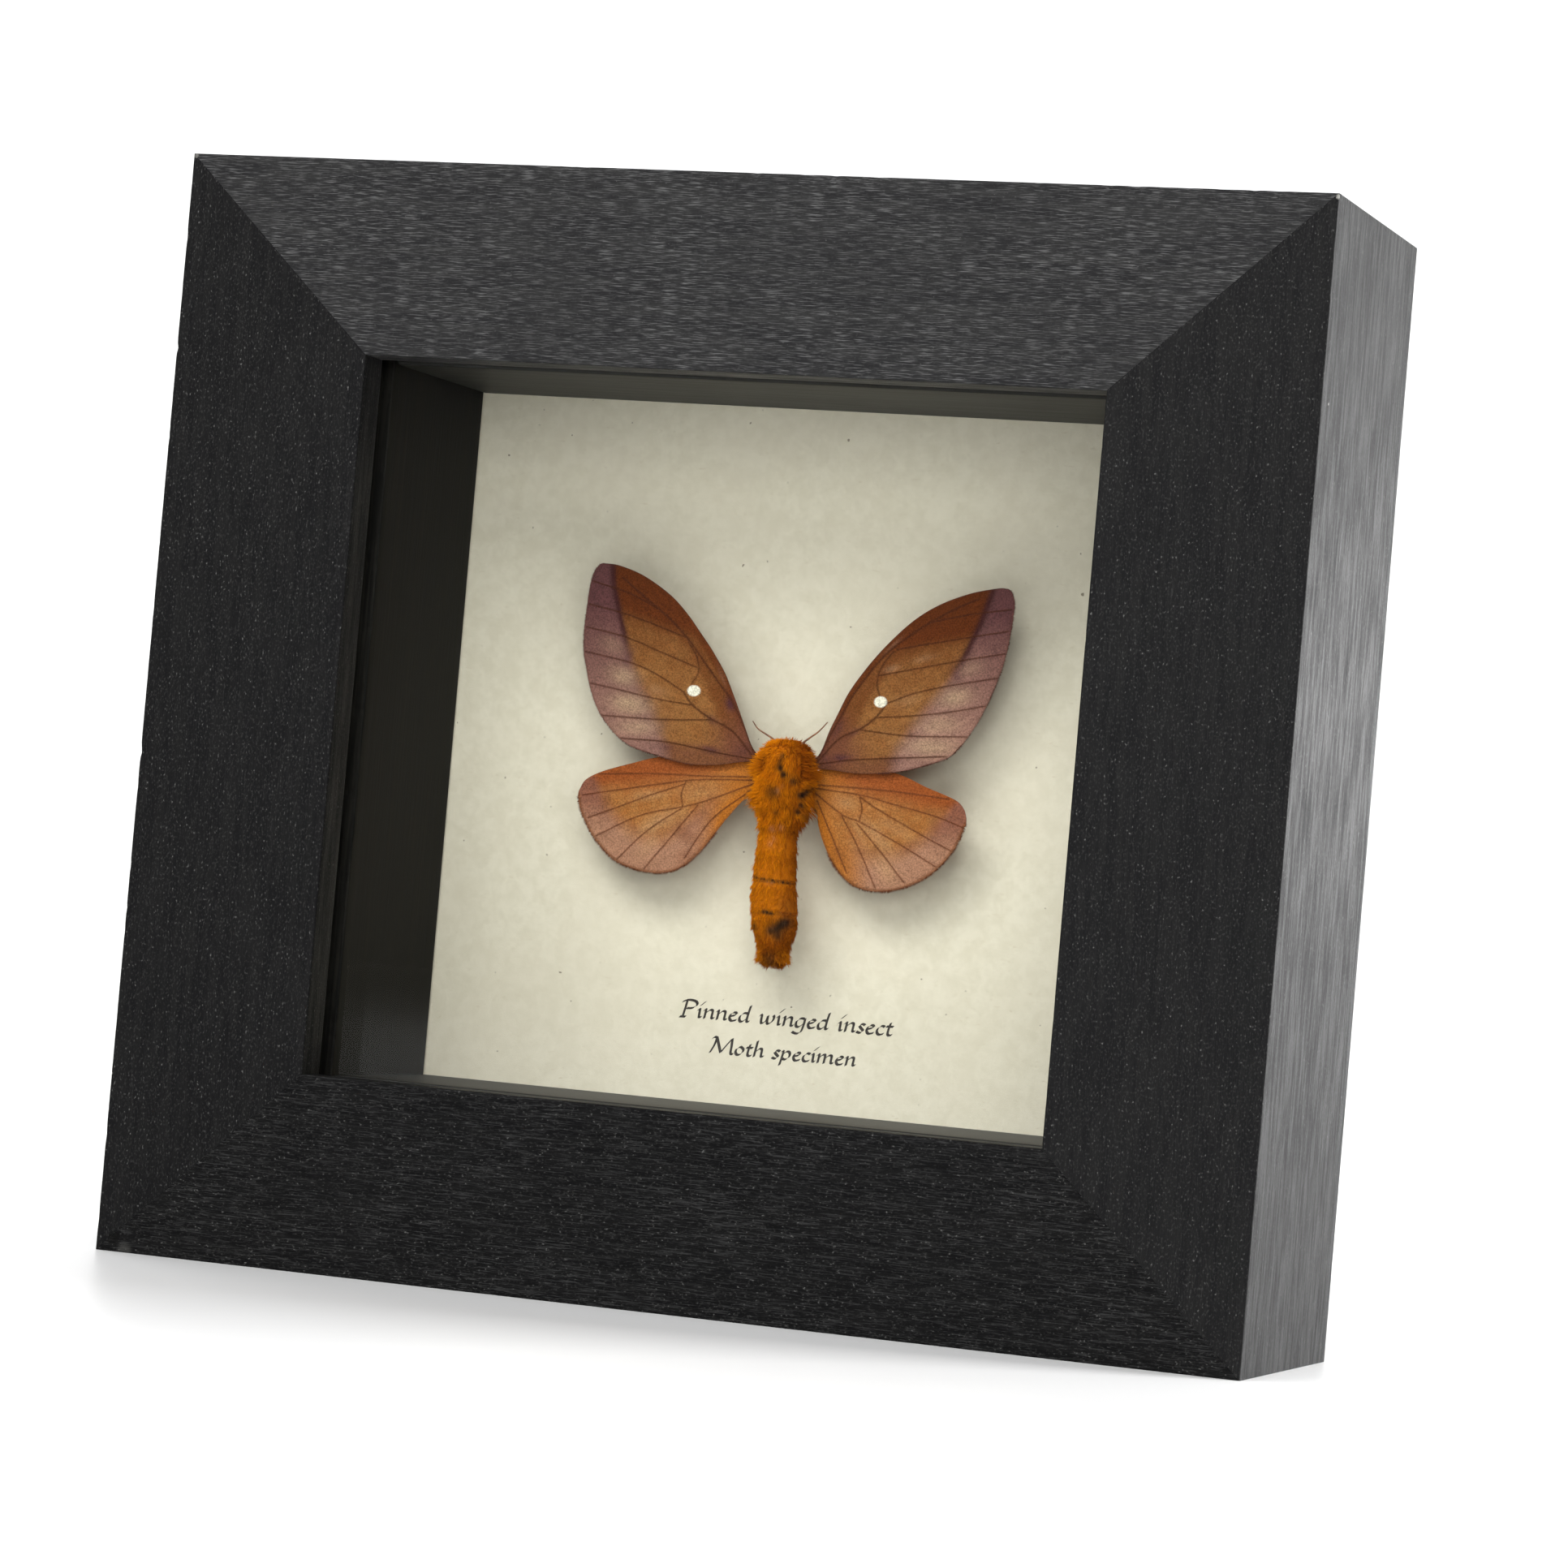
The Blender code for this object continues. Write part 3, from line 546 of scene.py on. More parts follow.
# Singed, bare and rusty places on the front of the fur: across, up, radius in millimetres and strength
DARK_MARKS = ((0.5, 2.4, 0.36, 0.75), (0.3, 1.7, 0.32, 0.7), (0.4, 0.95, 0.38, 1.3),
              (0.95, 0.2, 0.40, 1.3), (2.05, -0.5, 0.55, 0.8), (-0.35, -2.05, 0.85, 0.7),
              (3.0, -2.1, 0.46, 1.2), (3.5, -1.65, 0.32, 0.9), (4.0, -1.2, 0.26, 0.9),
              (3.05, -3.3, 0.34, 1.2), (2.6, -4.1, 0.38, 1.0), (0.1, -4.35, 0.30, 0.6),
              (3.7, -4.8, 0.50, 0.7), (1.1, -18.1, 0.95, 0.85), (2.0, -17.3, 0.75, 0.8),
              (0.1, -18.5, 0.60, 0.6), (1.2, -19.2, 0.60, 0.5), (2.0, -15.3, 1.00, 0.3),
              (-2.0, -18.1, 0.45, 0.7), (0.4, -21.9, 0.95, 0.6), (-0.75, -16.25, 0.24, 1.0),
              (-0.25, -16.3, 0.26, 1.2), (0.3, -16.4, 0.24, 1.0))
BARE_MARKS = ((0.35, -1.85, 0.34, 0.9), (-0.3, -6.4, 0.36, 0.8), (0.7, -6.1, 0.34, 0.7),
              (-0.4, -8.1, 0.45, 0.8), (-0.2, -7.4, 0.28, 0.6), (0.1, -12.85, 0.26, 0.8),
              (-0.5, -12.8, 0.2, 0.6), (0.9, -1.2, 0.2, 0.4))
RUST_MARKS = ((-2.0, 1.9, 0.75, 0.55), (-2.2, 0.9, 0.6, 0.35), (3.1, 1.9, 0.9, 0.7), (3.4, 0.5, 0.8, 0.6),
              (0.5, -20.6, 1.5, 0.5), (2.6, -16.8, 0.9, 0.4), (0.3, -4.4, 0.5, 0.35),
              (2.9, 3.0, 0.8, 0.4), (2.0, -15.2, 1.2, 0.5), (-1.9, -4.6, 0.5, 0.3), (0.8, -3.2, 0.5, 0.3))
# The seam's height at the middle, its slope and its half width; marks lie in front of the marked depth
BARE_SEAM = (-12.45, -0.08, 0.16)
MARKED_DEPTH = 29.6
LOCK_FACTORS = np.array([12.9, 78.2, 37.7, 51.3])
LOCK_PHASES = np.array([0.3, 1.1, 2.3, 4.0])
BACKWARD = np.array([0.0, 0.0, -1.0])


def seam_line(x, height):
    """The bare seam across the abdomen: exp(-(distance from a slanting line / half width)^2), in dashes."""
    middle, slope, half_width = BARE_SEAM
    apart = height - middle - slope * x
    return np.exp(-(apart / half_width) ** 2) * (0.60 + 0.55 * np.sin(8.3 * x) * np.sin(3.1 * x + 1.0))


def spread_marks(marks, x, height):
    """The sum of strength * exp(-(distance / radius)^2) over a list of marks."""
    return sum(strength * np.exp(-((x - mx) ** 2 + (height - mz) ** 2) / radius ** 2)
               for mx, mz, radius, strength in marks)


def mark_fur(fur, tone, each=HAIR_POINTS):
    """Dark, bare and rusty marks from each vertex's own place on the front, plus a tone for each hair, which
    also holds painted shade on the right flank.
    """
    places = np.empty(len(fur.data.vertices) * 3)
    fur.data.vertices.foreach_get("co", places)
    x, depth, height = places.reshape(-1, 3).T / MM
    x, height = x - MOTH_X, height - MOTH_Z
    front = depth < MARKED_DEPTH - HALF_DEPTH_MM
    darkness = spread_marks(DARK_MARKS, x, height) + seam_line(x, height)
    mark(fur, "dark", np.clip(darkness * front, 0, 0.96))
    mark(fur, "bare", np.clip(spread_marks(BARE_MARKS, x, height) * front, 0, 0.9))
    mark(fur, "tone", np.clip(np.repeat(tone, each) + spread_marks(RUST_MARKS, x, height) * front, 0, 1))


mark_fur(shell, np.zeros(len(shell.data.vertices)), 1)


def lock_sway(lock):
    """Four steady values from -1 to 1 for each lock of hair: sin(factor * number of the lock + phase)."""
    return np.sin(lock[:, None] * LOCK_FACTORS + LOCK_PHASES)


def body_fur(name, first, last, count, reach, lift, lock_size, seed, material):
    """Hairs on the shell between two heights, leaning back along the body and drawn into small locks.

    A root lies at (centre + half width * cos a, centre + half depth * sin a), more often where the body
    is wide. A hair points along lift * outward + back along the body, turned towards the middle of its
    lock, and each lock has a lean and a tone of its own.
    """
    random = np.random.default_rng(seed)
    stations = stroke_path(BODY_STATIONS, 400)
    inside = stations[(stations[:, 0] <= first) & (stations[:, 0] >= last)]
    weight = inside[:, 2] + inside[:, 3]
    row = random.choice(len(inside), count, p=weight / weight.sum())
    height = inside[row, 0] + random.uniform(-0.05, 0.05, count)
    angle = random.uniform(0, 2 * math.pi, count)
    share = SKIN_SHARE * 0.97
    x = inside[row, 1] + inside[row, 2] * share * np.cos(angle)
    depth = inside[row, 4] + inside[row, 3] * share * np.sin(angle)
    normal = unit(np.stack([np.cos(angle) / inside[row, 2], np.sin(angle) / inside[row, 3],
                            np.zeros(count)], axis=-1))
    tangent = np.stack([-np.sin(angle), np.cos(angle), np.zeros(count)], axis=-1)
    girth = 2 * math.pi * (inside[row, 2] + inside[row, 3]) / 2
    band = np.floor(height / lock_size)
    around = np.maximum(np.round(girth.mean() / lock_size), 6)
    turn = angle / (2 * math.pi) * around + 0.5 * (band % 2)
    lock = np.floor(turn) % around + 100 * band
    to_middle = ((0.5 - turn % 1)[:, None] * tangent
                 + (0.5 - (height / lock_size) % 1)[:, None] * np.array([0.0, 0.0, 1.0]))
    sway = lock_sway(lock)
    rise = np.clip((height - 2.2) / 1.6, 0, 1)[:, None]
    lean = (lift * normal + (1 - 1.5 * rise) * BACKWARD + 0.22 * sway[:, :3] + 0.40 * to_middle
            + random.normal(0, 0.16, (count, 3)))
    direction = unit(lean)
    bend = 0.18 * BACKWARD + random.normal(0, 0.08, (count, 3)) - 0.12 * normal
    gap = np.clip(seam_dip(height), 0, 1)
    length = reach(height) * random.uniform(0.65, 1.15, count) * (1 - 0.9 * gap) * (1 + 0.25 * sway[:, 3])
    fur = hair_mesh(name, world_mm(x, depth, height), direction, length * MM,
                    random.uniform(0.024, 0.040, count) * MM, bend, material)
    # The right flank gets a darker, rustier tone: painted shade, for light falling from the left.
    shaded_right_flank = ease(np.cos(angle), 0.15, 0.95)
    low_end = ease(-height, 16.0, 20.0)
    mark_fur(fur, 0.28 * random.beta(1.6, 2.6, count) + 0.30 * ease(sway[:, 3], 0.1, 1.0)
             + 0.72 * shaded_right_flank + 0.40 * low_end)


thorax_hair = fur_material("thorax_hair", (0.52, 0.142, 0.001), (0.93, 0.300, 0.002))
abdomen_hair = fur_material("abdomen_hair", (0.50, 0.142, 0.001), (0.88, 0.300, 0.002))
COAT_HAIRS = 12400
body_fur("thorax_fur", 4.25, -5.6, COAT_HAIRS, lambda h: 1.15 - 0.45 * ease(h, 2.0, 4.2), 0.55, 0.85, 11,
         thorax_hair)
body_fur("abdomen_fur", -4.6, -20.6, COAT_HAIRS, lambda h: 0.62, 0.48, 0.55, 12, abdomen_hair)
body_fur("tail_tuft", -19.8, -22.35, 2600, lambda h: 0.72, 0.75, 0.7, 13, abdomen_hair)


def shoulder_fur(name, count, seed, material):
    """Longer hairs from both flanks of the thorax, lying out over the wing roots in front of the wings."""
    random = np.random.default_rng(seed)
    side = random.choice([-1.0, 1.0], count)
    height = random.uniform(-4.6, 3.0, count)
    stations = stroke_path(BODY_STATIONS, 400)[::-1]
    centre, half_width, half_depth, middle = (
        np.interp(height, stations[:, 0], stations[:, k]) for k in (1, 2, 3, 4))
    turn = random.uniform(0.05, 0.75, count)
    x = centre + side * half_width * SKIN_SHARE * np.cos(turn)
    depth = middle - half_depth * SKIN_SHARE * np.sin(turn)
    sway = lock_sway(np.floor(height / 0.6) + 40 * side)
    lean = np.column_stack([side * 1.0, -0.25 - 0.25 * np.sin(turn), 0.16 * height - 0.25])
    direction = unit(lean + 0.28 * sway[:, :3] + random.normal(0, 0.16, (count, 3)))
    length = (1.55 + 0.55 * sway[:, 3]) * random.uniform(0.6, 1.15, count) * (1 - 0.35 * np.sin(turn))
    bend = np.array([0.0, 0.10, -0.12]) + random.normal(0, 0.08, (count, 3))
    fur = hair_mesh(name, world_mm(x, depth, height), direction, length * MM,
                    random.uniform(0.026, 0.040, count) * MM, bend, material)
    # Hairs on the right flank get a darker tone: painted shade, for light falling from the left.
    mark_fur(fur, 0.25 * random.random(count) + 0.35 * ease(sway[:, 3], 0, 1) + 0.25 * (side > 0))


TAIL_CENTRE = 0.25
TAIL_DEPTH = 29.9
TAIL_HALF_WIDTH = 1.65
TAIL_HALF_DEPTH = 1.5


def tail_flare(name, count, seed, material):
    """Tufts at both sides of the tail, fanned down and outwards from (centre + half width * cos a)."""
    random = np.random.default_rng(seed)
    side = random.choice([-1.0, 1.0], count)
    height = random.uniform(-21.9, -20.3, count)
    turn = random.uniform(-0.9, 1.2, count)
    x = TAIL_CENTRE + side * TAIL_HALF_WIDTH * np.cos(turn)
    depth = TAIL_DEPTH - TAIL_HALF_DEPTH * np.sin(turn)
    outward = side * random.uniform(0.3, 1.0, count)
    lean = np.column_stack([outward, -0.25 * np.sin(turn), np.full(count, -0.8)])
    direction = unit(lean + random.normal(0, 0.22, (count, 3)))
    length = random.uniform(0.35, 1.15, count) * ease(-height, 19.6, 21.4)
    fur = hair_mesh(name, world_mm(x, depth, height), direction, length * MM,
                    random.uniform(0.026, 0.040, count) * MM, random.normal(0, 0.1, (count, 3)), material)
    mark_fur(fur, random.uniform(0.15, 0.8, count))


shoulder_fur("shoulder_fur", 3000, 14, thorax_hair)
tail_flare("tail_flare", 900, 15, abdomen_hair)

# Wings: dry membrane under a coat of scales, stiffened by veins. The forewings lap over the hindwings
# at the front. Their bands, patches and smudges are the colours of the scales, worn thin in places.
FINE_VEIN = 0.10
STOUT_VEIN = 0.14
MEMBRANE_HALF = 0.055
VEIN_RISE_FRONT = 0.045
VEIN_RISE_BACK = 0.030


def distance_to(x, z, line):
    """Distance in millimetres from each point to a line of straight pieces."""
    line = np.asarray(line, dtype=float)
    nearest = np.full(np.shape(x), 1e9)
    for (ax, az), (bx, bz) in zip(line[:-1], line[1:]):
        dx, dz = bx - ax, bz - az
        share = np.clip(((x - ax) * dx + (z - az) * dz) / (dx * dx + dz * dz), 0, 1)
        nearest = np.minimum(nearest, np.hypot(x - ax - share * dx, z - az - share * dz))
    return nearest


def blots(x, z, places):
    """Soft ovals: the largest of strength * exp(-(a / half length)^2 - (b / half width)^2) at each point.

    A place is (across, up, half length, half width, tilt in degrees, strength), and a and b are the
    distances along and across the tilted oval.
    """
    shade = np.zeros_like(x)
    for across, up, half_length, half_width, tilt, strength in places:
        c, s = math.cos(math.radians(tilt)), math.sin(math.radians(tilt))
        a = (x - across) * c + (z - up) * s
        b = (z - up) * c - (x - across) * s
        shade = np.maximum(shade, strength * np.exp(-(a / half_length) ** 2 - (b / half_width) ** 2))
    return shade


def wing_sheet(name, front_edge, hind_edge, depth, camber, material, veins, masks, steps=(270, 145)):
    """A closed lens-shaped sheet between a front edge and a hind edge, both given root to tip.

    Row u runs along the wing and column v across it: place = front(u) * (1 - v) + hind(u) * v. The
    sheet bows by camber * sin(pi v) * sin(pi u), its skin thins out to nothing at the rim, and each
    vein stands proud as exp(-(distance / width)^2). masks(x, z, u, v) gives the marks by name.
    """
    rows, columns = steps
    u = np.linspace(0, 1, rows)[:, None]
    even = np.linspace(0, 1, columns)[None, :]
    v = 0.65 * even + 0.35 * (0.5 - 0.5 * np.cos(np.pi * even))
    front = stroke_path(front_edge, rows)[:, None, :]
    hind = stroke_path(hind_edge, rows)[:, None, :]
    flat = front * (1 - v[..., None]) + hind * v[..., None]
    x, z = flat[..., 0], flat[..., 1]
    vein = np.zeros_like(x)
    pleat = np.zeros_like(x)
    for line, width in veins:
        near = distance_to(x, z, stroke_path(line, 24))
        vein = np.maximum(vein, np.exp(-(near / width) ** 2))
        pleat += np.exp(-(near / 0.9) ** 2)
    bow = camber * np.sin(np.pi * v) * np.sin(np.pi * u ** 0.9)
    wave = 0.05 * np.sin(x * 0.9 + z * 0.7) + 0.04 * np.sin(z * 1.7 - x * 0.4) + 0.05 * np.minimum(pleat, 1.2)
    middle = depth - bow - wave * np.sin(np.pi * u) ** 0.5
    rim = np.clip(4 * v * (1 - v), 0, 1) ** 0.25 * np.ones_like(u)
    near_side = middle - (MEMBRANE_HALF + VEIN_RISE_FRONT * vein) * rim
    far_side = middle + (MEMBRANE_HALF + VEIN_RISE_BACK * vein) * rim
    ring_x = np.concatenate([x, x[:, -2:0:-1]], axis=1)
    ring_z = np.concatenate([z, z[:, -2:0:-1]], axis=1)
    ring_depth = np.concatenate([near_side, far_side[:, -2:0:-1]], axis=1)
    wing = carried(name, world_mm(ring_x, ring_depth, ring_z), material, 60.0)
    marks = masks(x, z, u + 0 * v, v + 0 * u)
    root = (front[0, 0] + hind[0, 0]) / 2
    marks["vein"] = vein * 0.9
    marks["fan"] = np.arctan2(z - root[1], np.abs(x - root[0]))
    marks["reach"] = np.hypot(x - root[0], z - root[1])
    for word, values in marks.items():
        mark(wing, word, np.concatenate([values, values[:, -2:0:-1]], axis=1))
    return wing


def wing_material(name, colours):
    """Coat of scales: the marks choose between the wing's colours, streaked along the veins and grained.

    The streaks are noise on the angle about the root and the distance from it, and the grain is fine
    noise, one tone for each scale or two. Later colours in the list lie over earlier ones.
    """
    material, tree, shader = shader_material(name, 0.8, (("Specular IOR Level", 0.06),))
    fine = noise(tree, object_space(tree, 5400), 1.0, 2.0, 0.65)
    clouds = noise(tree, object_space(tree, 800), 1.0, 3.0, 0.6)
    rays = tree.nodes.new("ShaderNodeCombineXYZ")
    put(tree, rays.inputs[0], arithmetic(tree, "MULTIPLY", read_mark(tree, "fan"), 42.0))
    put(tree, rays.inputs[1], arithmetic(tree, "MULTIPLY", read_mark(tree, "reach"), 0.45))
    streaks = noise(tree, rays.outputs[0], 1.0, 3.0, 0.6)
    margin = blend_colour(tree, read_mark(tree, "low"), colours["margin"], colours["low_margin"])
    colour = blend_colour(tree, between(tree, clouds, 0.3, 0.7), colours["centre"], colours["centre_light"])
    for word in ("front", "base", "margin", "pale", "line", "dusk", "vein", "rim", "spot"):
        share = read_mark(tree, word)
        if word in ("base", "pale", "dusk"):
            share = arithmetic(tree, "MULTIPLY", share, between(tree, streaks, 0.25, 0.75, 0.82, 1.12))
            share = arithmetic(tree, "MULTIPLY", share, between(tree, clouds, 0.25, 0.75, 0.85, 1.12))
        colour = blend_colour(tree, share, colour, margin if word == "margin" else colours[word])
    tone = arithmetic(tree, "MULTIPLY", between(tree, fine, 0.28, 0.72, 0.70, 1.34),
                      between(tree, streaks, 0.25, 0.75, 0.90, 1.10))
    grey = tree.nodes.new("ShaderNodeCombineColor")
    for channel in ("Red", "Green", "Blue"):
        tree.links.new(tone, grey.inputs[channel])
    colour = blend_colour(tree, 1.0, colour, grey.outputs["Color"], "MULTIPLY")
    put(tree, shader.inputs["Base Color"], colour)
    raise_bumps(tree, shader, fine, 0.02 * MM, 0.5)
    return material


def forewing_masks(side, front_edge, hind_edge, dark_line, spot, pale_places, dusk_places):
    """Marks of a forewing, whose side is -1 on the left and 1 on the right."""
    line = stroke_path(dark_line, 60)
    outer = stroke_path(hind_edge, 120)
    leading = stroke_path(front_edge, 60)
    order = np.argsort(line[:, 1])

    def masks(x, z, u, v):
        """Bands and patches from the distances to the dark line, the spot and the wing's edges."""
        near_line = distance_to(x, z, line)
        line_x = np.interp(z, line[order, 1], line[order, 0])
        beyond = np.where(side * (x - line_x) > 0, near_line, -near_line)
        to_rim = np.minimum(distance_to(x, z, outer), distance_to(x, z, leading))
        to_front = distance_to(x, z, leading)
        soft = 0.25 + 0.9 * (1 - ease(z, 9, 17))
        margin = ease(beyond, -soft, soft * 0.8)
        band = np.maximum(0.92 * (1 - ease(to_front, 0.5, 1.7)), 0.62 * (1 - ease(to_front, 2.0, 3.6)))
        above_vein = z - 16.1 - 0.25 * (side * x - 14.0)
        dark_tip = 0.34 * ease(above_vein, -6.5, -1.0) + 0.64 * ease(above_vein, -1.4, 1.2)
        root = 1 - ease(np.hypot(x - side * 4.5, z - 2.0), 2.0, 8.0)
        inner_strip = 1 - ease(z, 2.0, 4.0)
        line_width = 0.40 + 0.5 * (1 - ease(z, 11, 17))
        line_strength = 0.14 + 0.82 * ease(z, 12.0, 17.0)
        spot_distance = np.hypot((x - spot[0]) / 0.86, (z - spot[1]) / 0.70)
        return {
            "front": np.clip(np.maximum(band, dark_tip), 0, 1),
            "base": np.clip(np.maximum(root * 0.9, inner_strip * 0.7), 0, 0.9),
            "margin": margin * 0.96,
            # The smaller share and lower reach on the left are painted shade: the left forewing's lower
            # margin is kept darker, for a wing turned away from the light.
            "low": np.clip((20.3 + 0.8 * side - z) / 14.0, 0, 1) * (0.9 + 0.1 * side),
            "pale": blots(x, z, pale_places),
            "line": line_strength * np.exp(-(near_line / line_width) ** 2),
            "dusk": blots(x, z, dusk_places),
            "rim": 0.35 * (1 - ease(to_rim, 0.03, 0.28)),
            "spot": 1 - ease(spot_distance, 0.84, 1.04),
        }
    return masks


def hindwing_masks(side, hind_edge, pale_places, dusk_places):
    """Marks of a hindwing: salmon along the front, tan in the middle, a mauve margin and a brown rim."""
    outer = stroke_path(hind_edge, 120)

    def masks(x, z, u, v):
        """Bands from the distance to the outer edge and from the place along and across the wing."""
        to_rim = distance_to(x, z, outer)
        away = side * x
        inland = 1 - ease(to_rim, 2.0, 4.4 + 1.6 * ease(-z, 3.0, 9.0))
        margin = inland * ease(away, 7.5, 12.5) * ease(v + 0.6 * ease(u, 0.80, 1.0), 0.12, 0.45)
        root = 1 - ease(u, 0.06, 0.34)
        hind_side = ease(v, 0.62, 0.92) * (1 - ease(away, 9.0, 14.0))
        return {
            "front": (1 - ease(v, 0.10, 0.36)) * (0.95 - 0.35 * root),
            "base": np.clip(root * 0.75 + hind_side * 0.6, 0, 0.9),
            "margin": np.clip(margin, 0, 0.92),
            "low": 1 - ease(z, -8.5, -3.5),
            "pale": blots(x, z, pale_places),
            "line": np.zeros_like(x),
            "dusk": blots(x, z, dusk_places),
            "rim": 0.65 * (1 - ease(to_rim, 0.10, 0.45)) * ease(u, 0.06, 0.25),
            "spot": np.zeros_like(x),
        }
    return masks


forewing_scales = wing_material("forewing_scales_coat", {
    "centre": (0.190, 0.074, 0.020), "centre_light": (0.225, 0.097, 0.028), "front": (0.090, 0.021, 0.0048),
    "base": (0.125, 0.044, 0.024), "margin": (0.098, 0.039, 0.039), "low_margin": (0.250, 0.130, 0.100),
    "pale": (0.37, 0.245, 0.150), "line": (0.042, 0.013, 0.012), "dusk": (0.050, 0.017, 0.024),
    "vein": (0.052, 0.015, 0.006), "rim": (0.095, 0.033, 0.020), "spot": (0.66, 0.63, 0.51),
})
hindwing_scales = wing_material("hindwing_scales_coat", {
    "centre": (0.280, 0.103, 0.025), "centre_light": (0.310, 0.132, 0.038), "front": (0.235, 0.058, 0.0130),
    "base": (0.360, 0.112, 0.010), "margin": (0.205, 0.080, 0.052), "low_margin": (0.325, 0.165, 0.102),
    "pale": (0.400, 0.225, 0.108), "line": (0.2, 0.07, 0.05), "dusk": (0.160, 0.054, 0.022),
    "vein": (0.098, 0.028, 0.010), "rim": (0.150, 0.048, 0.014), "spot": (0.8, 0.8, 0.7),
})


def fringe(name, edge, depth, material, start, reach, count, seed):
    """Short hairs along the rim from the share start to the tip, pointing out from the wing's middle."""
    random = np.random.default_rng(seed)
    path = stroke_path(edge, 600)
    middle = path.mean(axis=0)
    along = unit(np.gradient(path, axis=0))
    out = np.column_stack([along[:, 1], -along[:, 0]])
    out *= np.sign(np.sum(out * (path - middle), axis=1, keepdims=True))
    row = random.integers(int(600 * start), 599, count)
    spread = random.uniform(-0.4, 0.4, (count, 1))
    heading = unit(out[row] + spread * along[row])
    place = path[row] - 0.10 * out[row]
    roots = world_mm(place[:, 0], depth + random.uniform(-0.04, 0.04, count), place[:, 1])
    direction = unit(np.column_stack([heading[:, 0], random.normal(0, 0.12, count), heading[:, 1]]))
    hairs = hair_mesh(name, roots, direction, random.uniform(0.6, 1.2, count) * reach * MM,
                      random.uniform(0.016, 0.028, count) * MM, 0.05 * random.normal(0, 1, (count, 3)),
                      material)
    mark(hairs, "dark", np.zeros(count * HAIR_POINTS))
    mark(hairs, "bare", np.zeros(count * HAIR_POINTS))
    mark(hairs, "tone", np.repeat(random.uniform(0, 1, count), HAIR_POINTS))


forewing_fringe = fur_material("forewing_fringe_hair", (0.10, 0.038, 0.024), (0.20, 0.085, 0.060))
hindwing_fringe = fur_material("hindwing_fringe_hair", (0.16, 0.052, 0.018), (0.27, 0.105, 0.045))
# Each kind of wing: depth, camber, coat and slot, then its fringe: hair, where it starts, reach and count
FOREWING = (29.8, 0.45, forewing_scales, "forewing_scales", forewing_fringe, 0.22, 0.26, 900)
HINDWING = (30.6, 0.15, hindwing_scales, "hindwing_scales", hindwing_fringe, 0.24, 0.34, 1100)


def set_wing(name, kind, front_edge, hind_edge, veins, masks, seed):
    """One wing of its kind: the sheet in place of the CAD solid, and the fringe along its hind edge."""
    depth, camber, coat, slot, hair, start, reach, count = kind
    sheet = wing_sheet(name + "_sheet", front_edge, hind_edge, depth, camber, coat, veins, masks)
    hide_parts(name)
    fringe(name + "_fringe", hind_edge, depth, hair, start, reach, count, seed)


# Edges, veins and marks in millimetres from the moth's middle, across and up
LEFT_FRONT = [(-2.9, 1.9), (-4.6, 3.3), (-6.7, 7.6), (-9.2, 12.4), (-12.8, 17.0), (-16.1, 20.4),
              (-20.1, 22.9), (-23.6, 24.1), (-25.9, 24.3)]
LEFT_HIND = [(-2.9, 0.6), (-4.9, 1.5), (-8.7, 0.9), (-12.3, 0.7), (-16.2, 1.3), (-20.4, 2.4),
             (-23.2, 4.4), (-25.4, 7.3), (-26.9, 11.4), (-27.6, 15.0), (-27.4, 20.6), (-27.0, 23.1),
             (-26.3, 24.15)]
LEFT_LINE = [(-24.6, 24.2), (-24.3, 22.2), (-23.8, 20.5), (-23.1, 18.4), (-22.0, 15.3), (-20.1, 10.5),
             (-17.9, 6.9), (-16.2, 3.4), (-15.5, 1.3)]
LEFT_SPOT = (-12.55, 9.55)
LEFT_PALE = [(-23.6, 14.4, 1.7, 0.95, -14, 0.26), (-21.8, 10.7, 2.1, 1.15, -12, 0.62),
             (-20.6, 7.4, 2.6, 1.20, -4, 0.85), (-19.4, 4.7, 2.8, 1.0, 4, 0.55),
             (-17.4, 9.2, 1.5, 0.8, -20, 0.16), (-16.0, 7.0, 1.8, 0.8, -4, 0.04),
             (-9.2, 11.4, 1.5, 0.22, -62, 0.12), (-22.8, 6.8, 0.6, 0.6, 0, 0.2)]
LEFT_DUSK = [(-7.9, 8.3, 0.9, 0.6, -65, 0.9), (-9.8, 2.6, 1.3, 0.45, -8, 0.75),
             (-9.9, 6.2, 0.9, 0.5, -40, 0.5), (-16.2, 5.2, 1.0, 0.5, 60, 0.30),
             (-15.6, 2.6, 1.3, 0.45, 5, 0.35), (-18.6, 8.0, 1.2, 0.4, 60, 0.22),
             (-21.3, 13.0, 1.3, 0.45, 62, 0.35), (-5.6, 2.9, 1.2, 0.7, 45, 0.35)]
